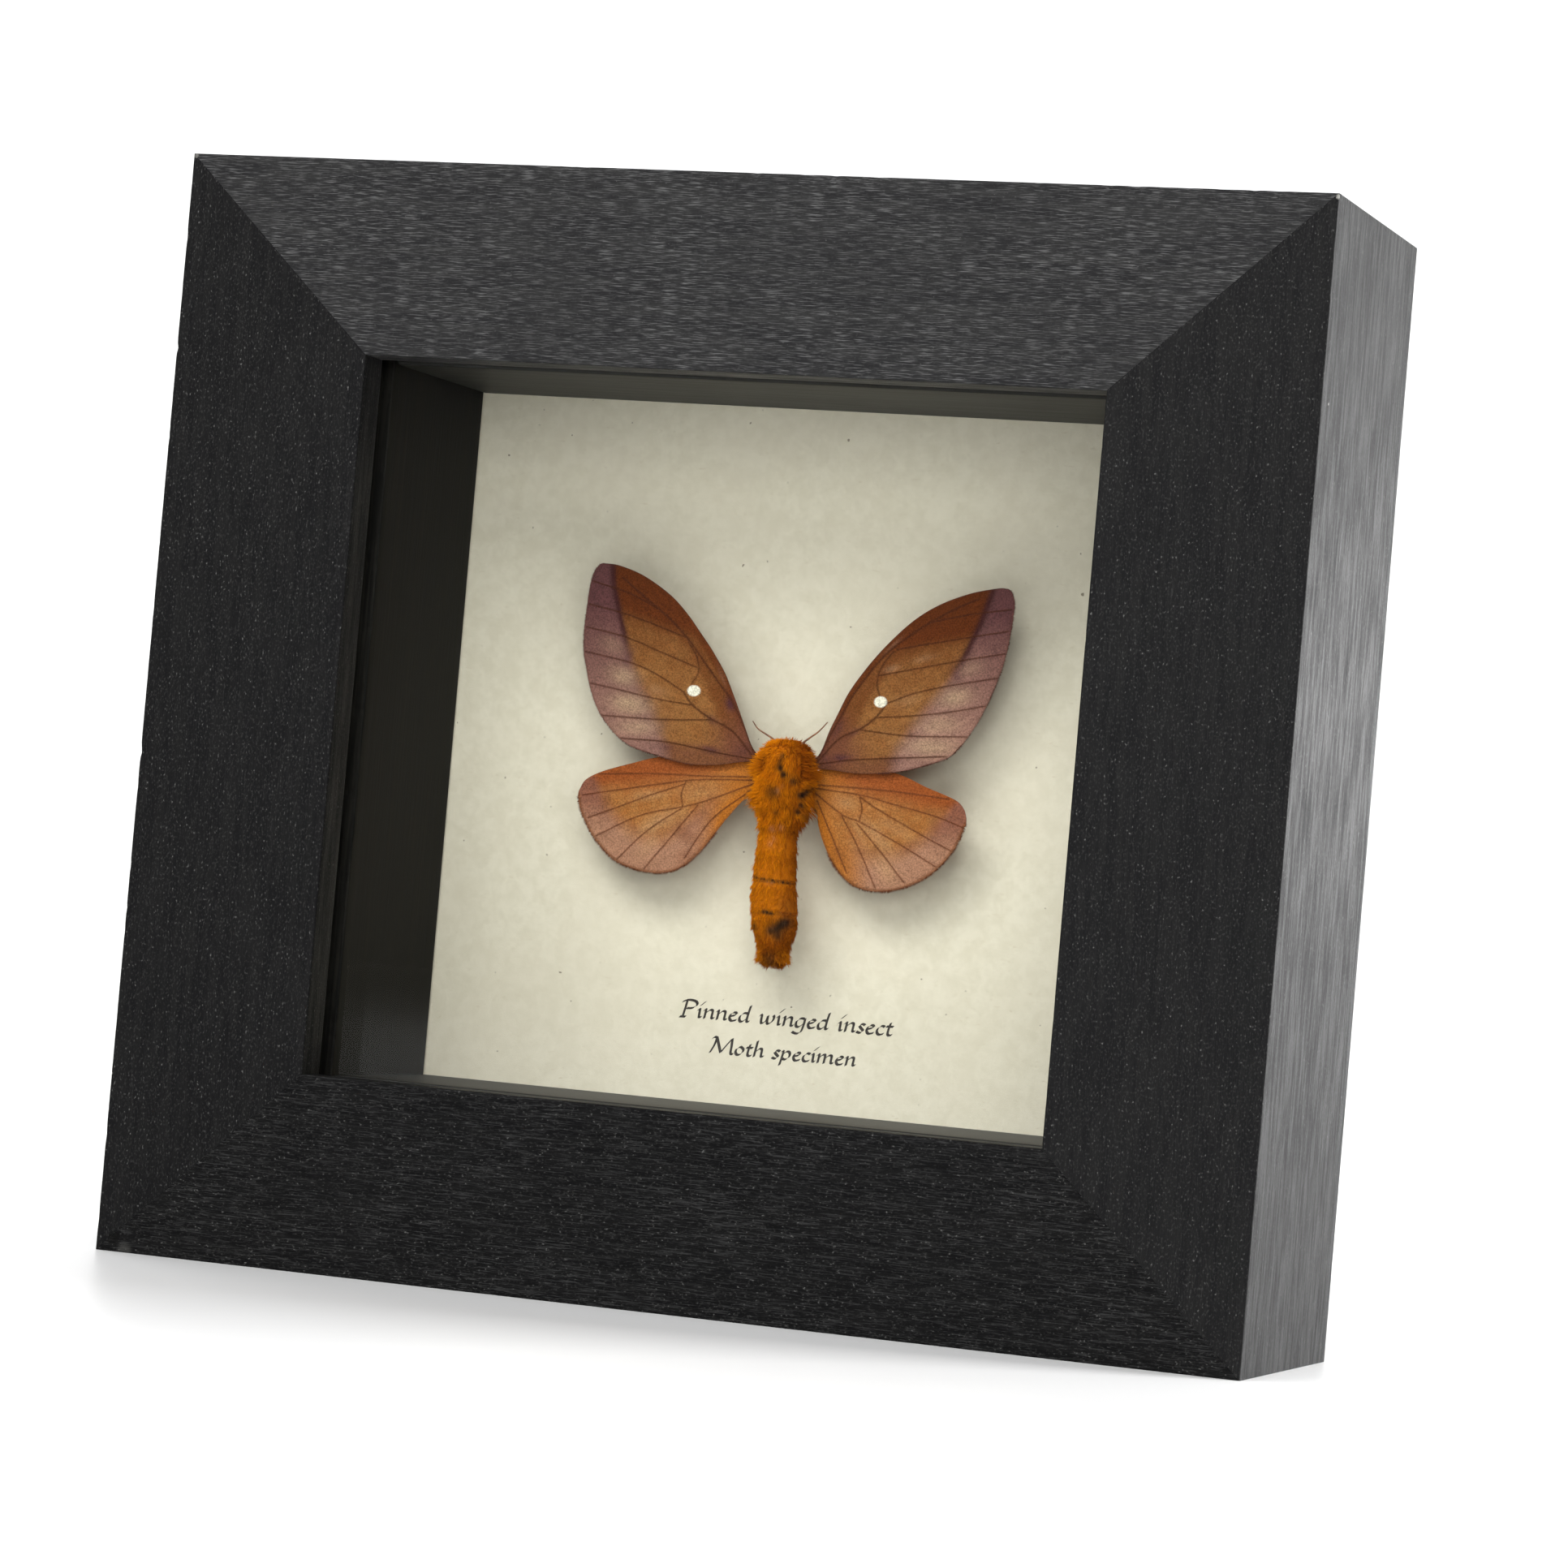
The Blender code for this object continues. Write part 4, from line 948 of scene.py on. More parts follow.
LEFT_VEINS = [
    ([(-4.2, 2.4), (-7.1, 7.8), (-9.6, 10.8), (-11.6, 13.1), (-14.2, 16.0), (-17.0, 18.4), (-19.9, 20.4),
      (-23.0, 22.6)], STOUT_VEIN),
    ([(-14.4, 16.0), (-21.5, 18.1), (-27.2, 19.2)], FINE_VEIN),
    ([(-17.8, 19.0), (-22.0, 20.8), (-26.9, 22.0)], FINE_VEIN),
    ([(-12.5, 12.4), (-17.4, 14.0), (-22.1, 15.5), (-27.3, 16.4)], FINE_VEIN),
    ([(-13.8, 9.3), (-17.5, 11.2), (-21.0, 12.4), (-27.2, 13.4)], FINE_VEIN),
    ([(-12.5, 7.8), (-16.8, 8.2), (-22.6, 9.1), (-26.1, 9.6)], FINE_VEIN),
    ([(-10.1, 6.2), (-16.6, 5.8), (-24.3, 5.8)], FINE_VEIN),
    ([(-4.6, 1.9), (-8.8, 2.3), (-13.2, 2.9), (-16.4, 3.2), (-21.6, 3.2)], FINE_VEIN),
    ([(-4.4, 2.2), (-7.2, 5.0), (-10.2, 6.4), (-12.5, 7.8), (-13.8, 9.3)], STOUT_VEIN),
    ([(-13.9, 15.4), (-12.6, 13.6), (-12.2, 11.9), (-12.9, 10.4)], FINE_VEIN),
]
set_wing("forewing_left", FOREWING, LEFT_FRONT, LEFT_HIND, LEFT_VEINS,
         forewing_masks(-1, LEFT_FRONT, LEFT_HIND, LEFT_LINE, LEFT_SPOT, LEFT_PALE, LEFT_DUSK), 21)

RIGHT_FRONT = [(2.6, 1.9), (4.0, 3.2), (5.3, 6.8), (7.4, 11.4), (10.3, 15.5), (13.3, 18.8), (16.6, 21.4),
               (20.8, 23.3), (24.4, 24.2), (25.7, 24.25)]
RIGHT_HIND = [(2.6, 0.6), (4.6, 1.3), (9.1, 1.1), (14.1, 1.7), (18.6, 3.1), (20.8, 4.4), (23.2, 7.9),
              (25.1, 12.4), (26.2, 16.7), (26.7, 21.9), (26.4, 23.5), (26.0, 24.1)]
RIGHT_LINE = [(23.9, 24.0), (23.4, 22.1), (22.9, 20.2), (22.1, 18.1), (21.2, 16.0), (19.5, 12.7),
              (16.9, 8.9), (14.7, 5.4), (13.7, 3.7), (13.3, 1.8)]
RIGHT_SPOT = (11.2, 9.8)
RIGHT_PALE = [(22.0, 14.5, 1.6, 0.95, 18, 0.30), (20.3, 10.9, 2.1, 1.15, 16, 0.66),
              (18.7, 7.5, 2.6, 1.15, 8, 0.50), (17.8, 4.9, 3.2, 1.15, 4, 0.66),
              (14.6, 10.2, 1.8, 0.8, 18, 0.12), (12.2, 13.8, 1.0, 0.4, 20, 0.22),
              (16.2, 15.3, 1.4, 0.4, 16, 0.14), (12.0, 16.6, 1.4, 0.22, 46, 0.16),
              (12.4, 6.0, 2.0, 0.6, 4, 0.05)]
RIGHT_DUSK = [(7.0, 2.8, 1.3, 0.45, 0, 0.75), (13.3, 3.0, 1.6, 0.35, 5, 0.40),
              (6.2, 6.4, 1.4, 0.5, 68, 0.45), (8.2, 5.9, 1.0, 0.4, 35, 0.45),
              (20.4, 13.6, 1.2, 0.45, -60, 0.30), (15.4, 6.2, 1.0, 0.4, -58, 0.20),
              (4.8, 2.6, 1.1, 0.6, -45, 0.35)]
RIGHT_VEINS = [
    ([(3.8, 2.4), (6.4, 8.0), (8.6, 12.0), (11.6, 15.8), (15.0, 18.6), (19.0, 21.2), (22.2, 22.8)],
     STOUT_VEIN),
    ([(12.6, 16.2), (19.0, 17.6), (26.2, 19.2)], FINE_VEIN),
    ([(16.4, 19.6), (21.0, 20.8), (26.4, 21.8)], FINE_VEIN),
    ([(10.6, 12.9), (16.0, 14.2), (21.0, 15.4), (26.0, 16.5)], FINE_VEIN),
    ([(11.8, 9.6), (16.0, 11.3), (20.6, 12.5), (25.4, 13.6)], FINE_VEIN),
    ([(10.8, 7.9), (15.4, 8.4), (20.0, 9.2), (24.2, 10.2)], FINE_VEIN),
    ([(8.9, 6.3), (15.0, 6.0), (22.2, 6.4)], FINE_VEIN),
    ([(4.0, 1.9), (7.8, 2.6), (13.0, 3.2), (19.8, 3.9)], FINE_VEIN),
    ([(3.9, 2.2), (6.4, 5.1), (9.0, 6.4), (10.8, 7.9), (11.9, 9.5)], STOUT_VEIN),
    ([(12.2, 15.9), (10.9, 13.9), (10.5, 12.0), (11.0, 10.6)], FINE_VEIN),
]
set_wing("forewing_right", FOREWING, RIGHT_FRONT, RIGHT_HIND, RIGHT_VEINS,
         forewing_masks(1, RIGHT_FRONT, RIGHT_HIND, RIGHT_LINE, RIGHT_SPOT, RIGHT_PALE, RIGHT_DUSK), 22)

LEFT_HINDWING_FRONT = [(-2.9, 0.6), (-4.9, 1.7), (-10.0, 2.2), (-16.0, 1.5), (-20.2, 0.3), (-23.8, -0.9),
                       (-26.0, -2.1), (-26.8, -3.5)]
LEFT_HINDWING_HIND = [(-3.0, -2.0), (-5.2, -2.9), (-7.4, -5.5), (-10.7, -10.0), (-13.5, -12.2),
                      (-16.9, -12.7), (-20.9, -11.8), (-23.9, -9.5), (-26.2, -6.2), (-26.85, -4.0)]
LEFT_HINDWING_PALE = [(-16.0, -6.6, 3.0, 1.0, 28, 0.65), (-11.6, -2.6, 2.6, 1.1, 8, 0.22),
                      (-17.2, -9.6, 1.8, 1.0, 50, 0.35), (-17.6, -3.4, 2.4, 0.6, 10, 0.35),
                      (-14.0, -6.2, 2.0, 0.6, 42, 0.30)]
LEFT_HINDWING_DUSK = [(-23.0, -4.4, 0.6, 1.5, -12, 0.50), (-19.2, -7.4, 1.6, 0.5, -45, 0.32),
                      (-12.4, -7.8, 2.0, 1.0, -25, 0.62), (-15.6, -8.6, 1.2, 0.5, -30, 0.22),
                      (-25.2, -2.6, 1.0, 0.9, 0, 0.35), (-12.2, -10.4, 1.4, 1.0, 40, 0.42)]
LEFT_HINDWING_VEINS = [
    ([(-3.6, -0.2), (-11.0, -0.6), (-16.3, -0.7), (-24.4, -1.3)], FINE_VEIN),
    ([(-4.0, -0.6), (-11.5, -1.1), (-18.0, -2.3), (-26.2, -4.0)], FINE_VEIN),
    ([(-13.0, -1.7), (-17.9, -3.6), (-21.6, -5.2), (-25.3, -6.7)], FINE_VEIN),
    ([(-4.2, -1.0), (-10.3, -3.6), (-13.1, -4.5), (-18.4, -5.9), (-24.0, -8.8)], FINE_VEIN),
    ([(-13.1, -4.6), (-17.5, -7.8), (-21.0, -11.4)], FINE_VEIN),
    ([(-11.2, -4.2), (-13.7, -7.5), (-17.4, -12.3)], FINE_VEIN),
    ([(-4.6, -1.8), (-9.3, -5.8), (-12.3, -10.6)], FINE_VEIN),
    ([(-13.0, -1.6), (-13.4, -3.0), (-13.1, -4.4)], FINE_VEIN),
]
set_wing("hindwing_left", HINDWING, LEFT_HINDWING_FRONT, LEFT_HINDWING_HIND, LEFT_HINDWING_VEINS,
         hindwing_masks(-1, LEFT_HINDWING_HIND, LEFT_HINDWING_PALE, LEFT_HINDWING_DUSK), 23)

RIGHT_HINDWING_FRONT = [(2.6, 0.5), (4.7, 1.5), (8.5, 1.9), (13.5, 1.5), (17.5, 0.1), (21.1, -1.1),
                        (22.3, -2.1), (22.7, -3.1)]
RIGHT_HINDWING_HIND = [(2.6, -2.2), (3.9, -3.6), (4.3, -5.4), (5.2, -7.6), (7.0, -10.4), (9.5, -12.3),
                       (12.6, -12.7), (15.7, -12.0), (18.8, -10.2), (21.4, -7.2), (22.75, -3.8)]
RIGHT_HINDWING_PALE = [(11.8, -6.2, 2.8, 0.9, -38, 0.55), (13.2, -9.8, 2.0, 1.1, -50, 0.50),
                       (14.0, -5.0, 2.6, 0.7, -25, 0.30), (7.2, -2.4, 1.6, 0.9, -15, 0.35),
                       (9.6, -6.0, 1.8, 0.5, -55, 0.28)]
RIGHT_HINDWING_DUSK = [(18.9, -4.4, 0.6, 1.5, 18, 0.45), (16.0, -7.2, 1.5, 0.5, 48, 0.32),
                       (11.0, -8.0, 1.5, 0.5, 15, 0.26), (7.4, -8.6, 1.5, 0.8, -60, 0.38),
                       (21.2, -2.9, 0.9, 0.8, 0, 0.30)]
RIGHT_HINDWING_VEINS = [
    ([(3.2, -0.6), (9.1, -0.6), (14.2, -0.7), (20.4, -1.1)], FINE_VEIN),
    ([(3.4, -1.0), (9.2, -1.4), (13.5, -2.2), (18.7, -3.2), (22.4, -4.3)], FINE_VEIN),
    ([(9.3, -1.6), (11.0, -2.6), (16.3, -5.1), (21.2, -7.2)], FINE_VEIN),
    ([(3.6, -1.6), (7.4, -4.0), (9.5, -4.6), (14.8, -6.9), (19.4, -9.2)], FINE_VEIN),
    ([(9.2, -4.8), (12.3, -7.8), (15.7, -11.4)], FINE_VEIN),
    ([(7.2, -4.0), (9.7, -7.8), (12.1, -12.2)], FINE_VEIN),
    ([(3.9, -2.4), (6.2, -6.6), (8.4, -10.8)], FINE_VEIN),
    ([(9.3, -1.7), (9.7, -3.0), (9.5, -4.5)], FINE_VEIN),
]
set_wing("hindwing_right", HINDWING, RIGHT_HINDWING_FRONT, RIGHT_HINDWING_HIND, RIGHT_HINDWING_VEINS,
         hindwing_masks(1, RIGHT_HINDWING_HIND, RIGHT_HINDWING_PALE, RIGHT_HINDWING_DUSK), 24)

# Antennae: two dry brown threads of short joints, grown on the head. They curl forward and out over
# the wing roots, thinner towards their ends.
ANTENNA_RADIUS = 0.13


def thread_rings(route, radius, sides=10, steps=90, joints=22, swell=0.14):
    """Rings along a smooth route: radius * (1 - 0.55 s) * (1 + swell * |sin(pi * joints * s)|)."""
    path = stroke_path(route, steps)
    s = np.linspace(0, 1, steps)
    along = unit(np.gradient(path, axis=0))
    side = unit(np.cross(along, [0.0, 1.0, 0.3]))
    other = np.cross(along, side)
    reach = radius * (1 - 0.55 * s) * (1 + swell * np.abs(np.sin(math.pi * joints * s)))
    reach[0] *= 0.4
    reach[-1] *= 0.3
    turn = np.linspace(0, 2 * math.pi, sides, endpoint=False)
    return path[:, None] + reach[:, None, None] * (np.cos(turn)[None, :, None] * side[:, None]
                                                   + np.sin(turn)[None, :, None] * other[:, None])


def thread_material(name, dark, pale):
    """Dry brown shell, mottled between a dark and a pale tone."""
    material, tree, shader = shader_material(name, 0.6)
    mottle = noise(tree, object_space(tree, 2600), 1.0, 3.0, 0.6)
    put(tree, shader.inputs["Base Color"], blend_colour(tree, between(tree, mottle, 0.3, 0.7), dark, pale))
    raise_bumps(tree, shader, mottle, 0.02 * MM)
    return material


def thread(name, route, radius, material, slot, **shape):
    """A closed thread through (across, up, depth) points in millimetres on the moth."""
    x, z, depth = np.asarray(route, dtype=float).T
    rings = thread_rings(np.column_stack([x, depth, z]), radius, **shape)
    return carried(name, world_mm(rings[..., 0], rings[..., 1], rings[..., 2]), material, 70.0)


antenna_shell = thread_material("antenna_shell", (0.11, 0.040, 0.018), (0.27, 0.112, 0.048))
# Each antenna: the places it passes, across, up and depth
ANTENNA_ROUTES = (
    ("left", ((-0.8, 3.7, 28.3), (-1.5, 4.4, 28.2), (-2.4, 4.9, 28.1), (-3.5, 5.5, 28.1), (-4.3, 6.4, 28.2))),
    ("right", ((1.7, 3.4, 28.3), (2.3, 4.2, 28.2), (3.2, 4.9, 28.1), (4.2, 5.7, 28.1), (5.2, 6.9, 28.2))),
)
for hand, route in ANTENNA_ROUTES:
    antenna = thread("antenna_%s_thread" % hand, route, ANTENNA_RADIUS, antenna_shell, "antenna_brown")
    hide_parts("antenna_" + hand)

# Legs: three pairs of jointed shell, folded against the underside of the thorax when the moth was
# dried. Each goes out from the hip to the knee and back in to the foot.
LEG_RADIUS = 0.26
# Each pair: the heights of its hip, knee and foot
LEG_PAIRS = (("front", 2.4, 1.6, 3.0), ("middle", 0.2, -1.0, 0.6), ("hind", -2.0, -4.0, -2.6))
leg_shell = thread_material("leg_shell", (0.16, 0.055, 0.010), (0.40, 0.16, 0.025))
for word, hip, knee, foot in LEG_PAIRS:
    for side, hand in ((-1, "left"), (1, "right")):
        leg = thread("leg_%s_%s_shell" % (word, hand), [
            (side * 0.9, hip, 32.2),
            (side * 2.2, (hip + knee) / 2, 33.6),
            (side * 2.9, knee, 34.3),
            (side * 2.1, (knee + foot) / 2, 34.9),
            (side * 1.2, foot, 35.2),
        ], LEG_RADIUS, leg_shell, "leg_brown", joints=5, swell=0.25, steps=50)
        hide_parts("leg_%s_%s" % (word, hand))

# Spacers: strips of thin wood painted black, stood on edge behind the glass all round, with the grain
# along each strip and a rough painted front edge.


def rounded_corners(corners, radii, arc=4, longest=1.3 * MM):
    """A closed outline with each corner turned into an arc and long sides cut into short steps."""
    corners = np.asarray(corners, dtype=float)
    before = np.roll(corners, 1, axis=0)
    after = np.roll(corners, -1, axis=0)
    pieces = []
    for corner, left, right, radius in zip(corners, before, after, radii):
        a = unit(left - corner)
        b = unit(right - corner)
        t = np.linspace(0, 1, arc + 1)[:, None]
        pieces.append((1 - t) ** 2 * (corner + a * radius) + 2 * t * (1 - t) * corner
                      + t ** 2 * (corner + b * radius))
    outline = []
    for piece, following in zip(pieces, pieces[1:] + pieces[:1]):
        outline.append(piece)
        start, end = piece[-1], following[0]
        cuts = int(np.linalg.norm(end - start) // longest)
        if cuts:
            outline.append(start + (end - start) * (np.arange(1, cuts + 1) / (cuts + 1))[:, None])
    return np.vstack(outline)


def ripple(a, b, seed):
    """A smooth random value near 0 on two coordinates in millimetres: the mean of six slanted sines."""
    random = np.random.default_rng(seed)
    total = 0
    for _ in range(6):
        fa, fb, phase = random.uniform(0.15, 1.6), random.uniform(0.1, 1.2), random.uniform(0, 6.3)
        total = total + np.sin(fa * a + fb * b + phase)
    return total / 6


def wood_scale(along, fine_mm, long_mm):
    """Pattern scale for grain along X or Z: long features on that axis, fine ones on the others."""
    fine, long = 1 / (fine_mm * MM), 1 / (long_mm * MM)
    return (long, fine, fine) if along == "X" else (fine, fine, long)


def painted_strip_material(name, along):
    """Thin black paint on wood: olive black, with fine lines and shallow ridges along the grain."""
    gloss = 0.06 if along == "Z" else 0.4
    material, tree, shader = shader_material(name, 0.42, (("Specular IOR Level", gloss),))
    lines = noise(tree, object_space(tree, wood_scale(along, 0.35, 14)), 1.0, 3.0, 0.65)
    broad = noise(tree, object_space(tree, wood_scale(along, 2.2, 40)), 1.0, 2.0)
    share = between(tree, lines, 0.35, 0.72)
    colour = blend_colour(tree, share, (0.005, 0.0048, 0.0042), (0.017, 0.0155, 0.0125))
    colour = blend_colour(tree, between(tree, broad, 0.4, 0.7, 0.0, 0.4), colour, (0.007, 0.0067, 0.006))
    put(tree, shader.inputs["Base Color"], colour)
    put(tree, shader.inputs["Roughness"], between(tree, lines, 0.3, 0.7, 0.52, 0.64))
    raise_bumps(tree, shader, lines, 0.05 * MM, 0.6)
    return material


STRIP_ROUNDING = 0.25 * MM
strip_materials = {axis: painted_strip_material("painted_strip_" + axis, axis) for axis in "XZ"}


def strip(word, along):
    """A strip of the CAD solid's size: a rounded rectangle carried along its length, edges a little wavy."""
    low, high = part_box("spacer_" + word)
    if along == "Z":
        start, end, inner, outer = low.z, high.z, low.x, high.x
    else:
        start, end, inner, outer = low.x, high.x, low.z, high.z
    corners = [(low.y, inner), (high.y, inner), (high.y, outer), (low.y, outer)]
    profile = rounded_corners(corners, [STRIP_ROUNDING] * 4)
    run = np.linspace(start, end, 260)[:, None]
    y, across = profile[None, :, 0], profile[None, :, 1]
    rough = 0.16 * MM * np.clip(ripple(run / MM * 2.2, across / MM, 31), 0, 1)
    y = y + rough * (y < low.y + 1 * MM)
    across = across + 0 * run
    run = run + 0 * y
    rings = np.stack([across, y, run] if along == "Z" else [run, y, across], axis=-1)
    piece = carried("strip_" + word, rings, strip_materials[along])
    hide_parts("spacer_" + word)


for word, along in (("left", "Z"), ("right", "Z"), ("top", "X"), ("bottom", "X")):
    strip(word, along)

# Glass: one clear pane of coated glass, cut to the rebate, with its edges lightly ground. It lies
# against the back of the lip and the strips press on it from behind.
GROUND_EDGE = 0.25 * MM
PANE_CORNER = 0.4 * MM


def pane_material():
    """Clear, coated pane: passes light straight on and mirrors about 1 percent of it, more at a low angle.

    The mirrored share is 0.012 + 0.9 * (1 - cosine of the angle)^5, from the facing value.
    """
    material = bpy.data.materials.new("pane_glass")
    material.use_nodes = True
    tree = material.node_tree
    tree.nodes.remove(tree.nodes["Principled BSDF"])
    facing = tree.nodes.new("ShaderNodeLayerWeight")
    facing.inputs["Blend"].default_value = 0.5
    steep = arithmetic(tree, "POWER", facing.outputs["Facing"], 5.0)
    mirrored = arithmetic(tree, "ADD", arithmetic(tree, "MULTIPLY", steep, 0.9), 0.012)
    clear = tree.nodes.new("ShaderNodeBsdfTransparent")
    clear.inputs["Color"].default_value = (0.985, 0.992, 0.988, 1.0)
    gloss = tree.nodes.new("ShaderNodeBsdfGlossy")
    gloss.inputs["Roughness"].default_value = 0.02
    mixer = tree.nodes.new("ShaderNodeMixShader")
    tree.links.new(mirrored, mixer.inputs[0])
    tree.links.new(clear.outputs[0], mixer.inputs[1])
    tree.links.new(gloss.outputs[0], mixer.inputs[2])
    tree.links.new(mixer.outputs[0], tree.nodes["Material Output"].inputs["Surface"])
    return material


pane_low, pane_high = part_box("glass_pane")


def glass_pane(name, material):
    """A rectangle of the pane's size, carried from front to back and drawn in at both faces by grinding."""
    thickness = pane_high.y - pane_low.y
    depth = np.array([0.0, GROUND_EDGE, 1.0 * MM, thickness - GROUND_EDGE, thickness])
    inset = np.array([GROUND_EDGE, 0.0, 0.0, 0.0, GROUND_EDGE])
    left, right, bottom, top = pane_low.x, pane_high.x, pane_low.z, pane_high.z
    corners = rounded_corners([(left, bottom), (right, bottom), (right, top), (left, top)],
                              [PANE_CORNER] * 4, longest=20 * MM)
    away = np.sign(corners - corners.mean(axis=0))
    flat = corners[None] - inset[:, None, None] * away[None]
    y = np.broadcast_to((pane_low.y + depth)[:, None], flat.shape[:2])
    rings = np.stack([flat[..., 0], y, flat[..., 1]], axis=-1)
    return carried(name, rings, material, 30.0)


pane = glass_pane("glass_sheet", pane_material())
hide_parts("glass_pane")

# Rails: four lengths of deep moulding in an open-grained wood, stained black and waxed. They are cut
# on the mitre and glued, so the pores show as fine pale dashes that follow each rail.
MITRE_HAIRLINE = 0.012 * MM
PANE_PLAY = 0.3 * MM
ARRIS_REACH = 0.5 * MM
DENTS = 16
# Chips and filler on the front arrises: x, y, z and radius in metres, strength, and tone
TOP_RIGHT_CHIP = (0.0699, -0.0201, 0.1306, 0.0003, 0.8, 0.30)
TOP_LEFT_CHIP = (-0.0696, -0.0202, 0.1307, 0.0003, 0.5, 0.22)
FILLER_DAB = (-0.0677, -0.0202, 0.0015, 0.0009, 0.8, 0.004)
# For each rail: gloss of the wax, dark and pale tone of the ground, tone and share of the dashes, share
# of the dots, and its chips
RAIL_LOOKS = {
    # Top rail: its paler ground and brighter dashes are partly its denser pores and partly painted sheen from
    # the light above.
    "top": (0.07, 0.0125, 0.0190, 0.098, 1.0, 0.45, (TOP_RIGHT_CHIP, TOP_LEFT_CHIP)),
    "bottom": (0.03, 0.0042, 0.0066, 0.036, 0.75, 0.6,
               (FILLER_DAB, (-0.0662, -0.0202, 0.0002, 0.0010, 0.25, 0.10))),
    "left": (0.035, 0.0062, 0.0088, 0.022, 0.30, 0.75,
             (TOP_LEFT_CHIP, FILLER_DAB, (-0.0699, -0.0201, 0.0210, 0.0002, 0.8, 0.3))),
    "right": (0.045, 0.0072, 0.0100, 0.024, 0.30, 0.75,
              (TOP_RIGHT_CHIP, (0.0699, -0.0170, 0.1080, 0.0002, 0.9, 0.5))),
}


def chipped(tree, colour, places, ragged):
    """Colour changed to a chip's tone by strength * (1 - smooth step of distance / radius), edges ragged."""
    place = object_space(tree)
    for x, y, z, radius, strength, tone in places:
        apart = tree.nodes.new("ShaderNodeVectorMath")
        apart.operation = "DISTANCE"
        tree.links.new(place, apart.inputs[0])
        apart.inputs[1].default_value = (x, y, z)
        far = arithmetic(tree, "ADD", apart.outputs["Value"], arithmetic(tree, "MULTIPLY", ragged, radius))
        share = between(tree, far, radius, 1.7 * radius, strength, 0.0)
        colour = blend_colour(tree, share, colour, (tone, tone * 0.98, tone * 0.9))
    return colour


def black_wood_material(name, along, look, seed):
    """Black stain on open grain: pores as pale dashes, dots of bare wood, soft streaks and fine ridges."""
    polish, dark, pale, dash_tone, dashes, dots, chips = look
    material, tree, shader = shader_material(name, 0.45, (("Specular IOR Level", polish),))
    shift = (seed * 0.37, seed * 0.61, seed * 0.83)
    pores = noise(tree, object_space(tree, wood_scale(along, 0.115, 2.1), shift), 1.0, 2.0, 0.6, 0.12)
    specks = noise(tree, object_space(tree, wood_scale(along, 0.22, 0.34), shift), 1.0, 1.5, 0.5)
    ridges = noise(tree, object_space(tree, wood_scale(along, 0.17, 3.2), shift), 1.0, 3.0, 0.6)
    streaks = noise(tree, object_space(tree, wood_scale(along, 0.9, 9), shift), 1.0, 3.0, 0.6)
    clouds = noise(tree, object_space(tree, wood_scale(along, 7, 13), shift), 1.0, 2.0, 0.5)
    share = between(tree, streaks, 0.35, 0.65)
    ground = blend_colour(tree, share, (dark, dark, dark * 1.05), (pale, pale, pale))
    patchy = between(tree, clouds, 0.3, 0.7, 0.6, 1.0)
    dash = arithmetic(tree, "MULTIPLY", between(tree, pores, 0.49, 0.70), patchy)
    dash = arithmetic(tree, "MULTIPLY", dash, dashes)
    colour = blend_colour(tree, dash, ground, (dash_tone, dash_tone, dash_tone))
    grain = between(tree, specks, 0.52, 0.70, 0.0, 0.22 * dots)
    colour = blend_colour(tree, grain, colour, (0.09, 0.088, 0.085))
    spark = between(tree, specks, 0.70, 0.76, 0.0, 0.75 * dots)
    colour = blend_colour(tree, spark, colour, (0.15, 0.15, 0.145))
    put(tree, shader.inputs["Base Color"], chipped(tree, colour, chips, specks))
    worn = blend_colour(tree, 0.25, streaks, clouds)
    put(tree, shader.inputs["Roughness"], between(tree, worn, 0.35, 0.65, 0.57, 0.38))
    relief = arithmetic(tree, "ADD", pores, arithmetic(tree, "MULTIPLY", ridges, 1.6))
    raise_bumps(tree, shader, relief, 0.030 * MM)
    return material


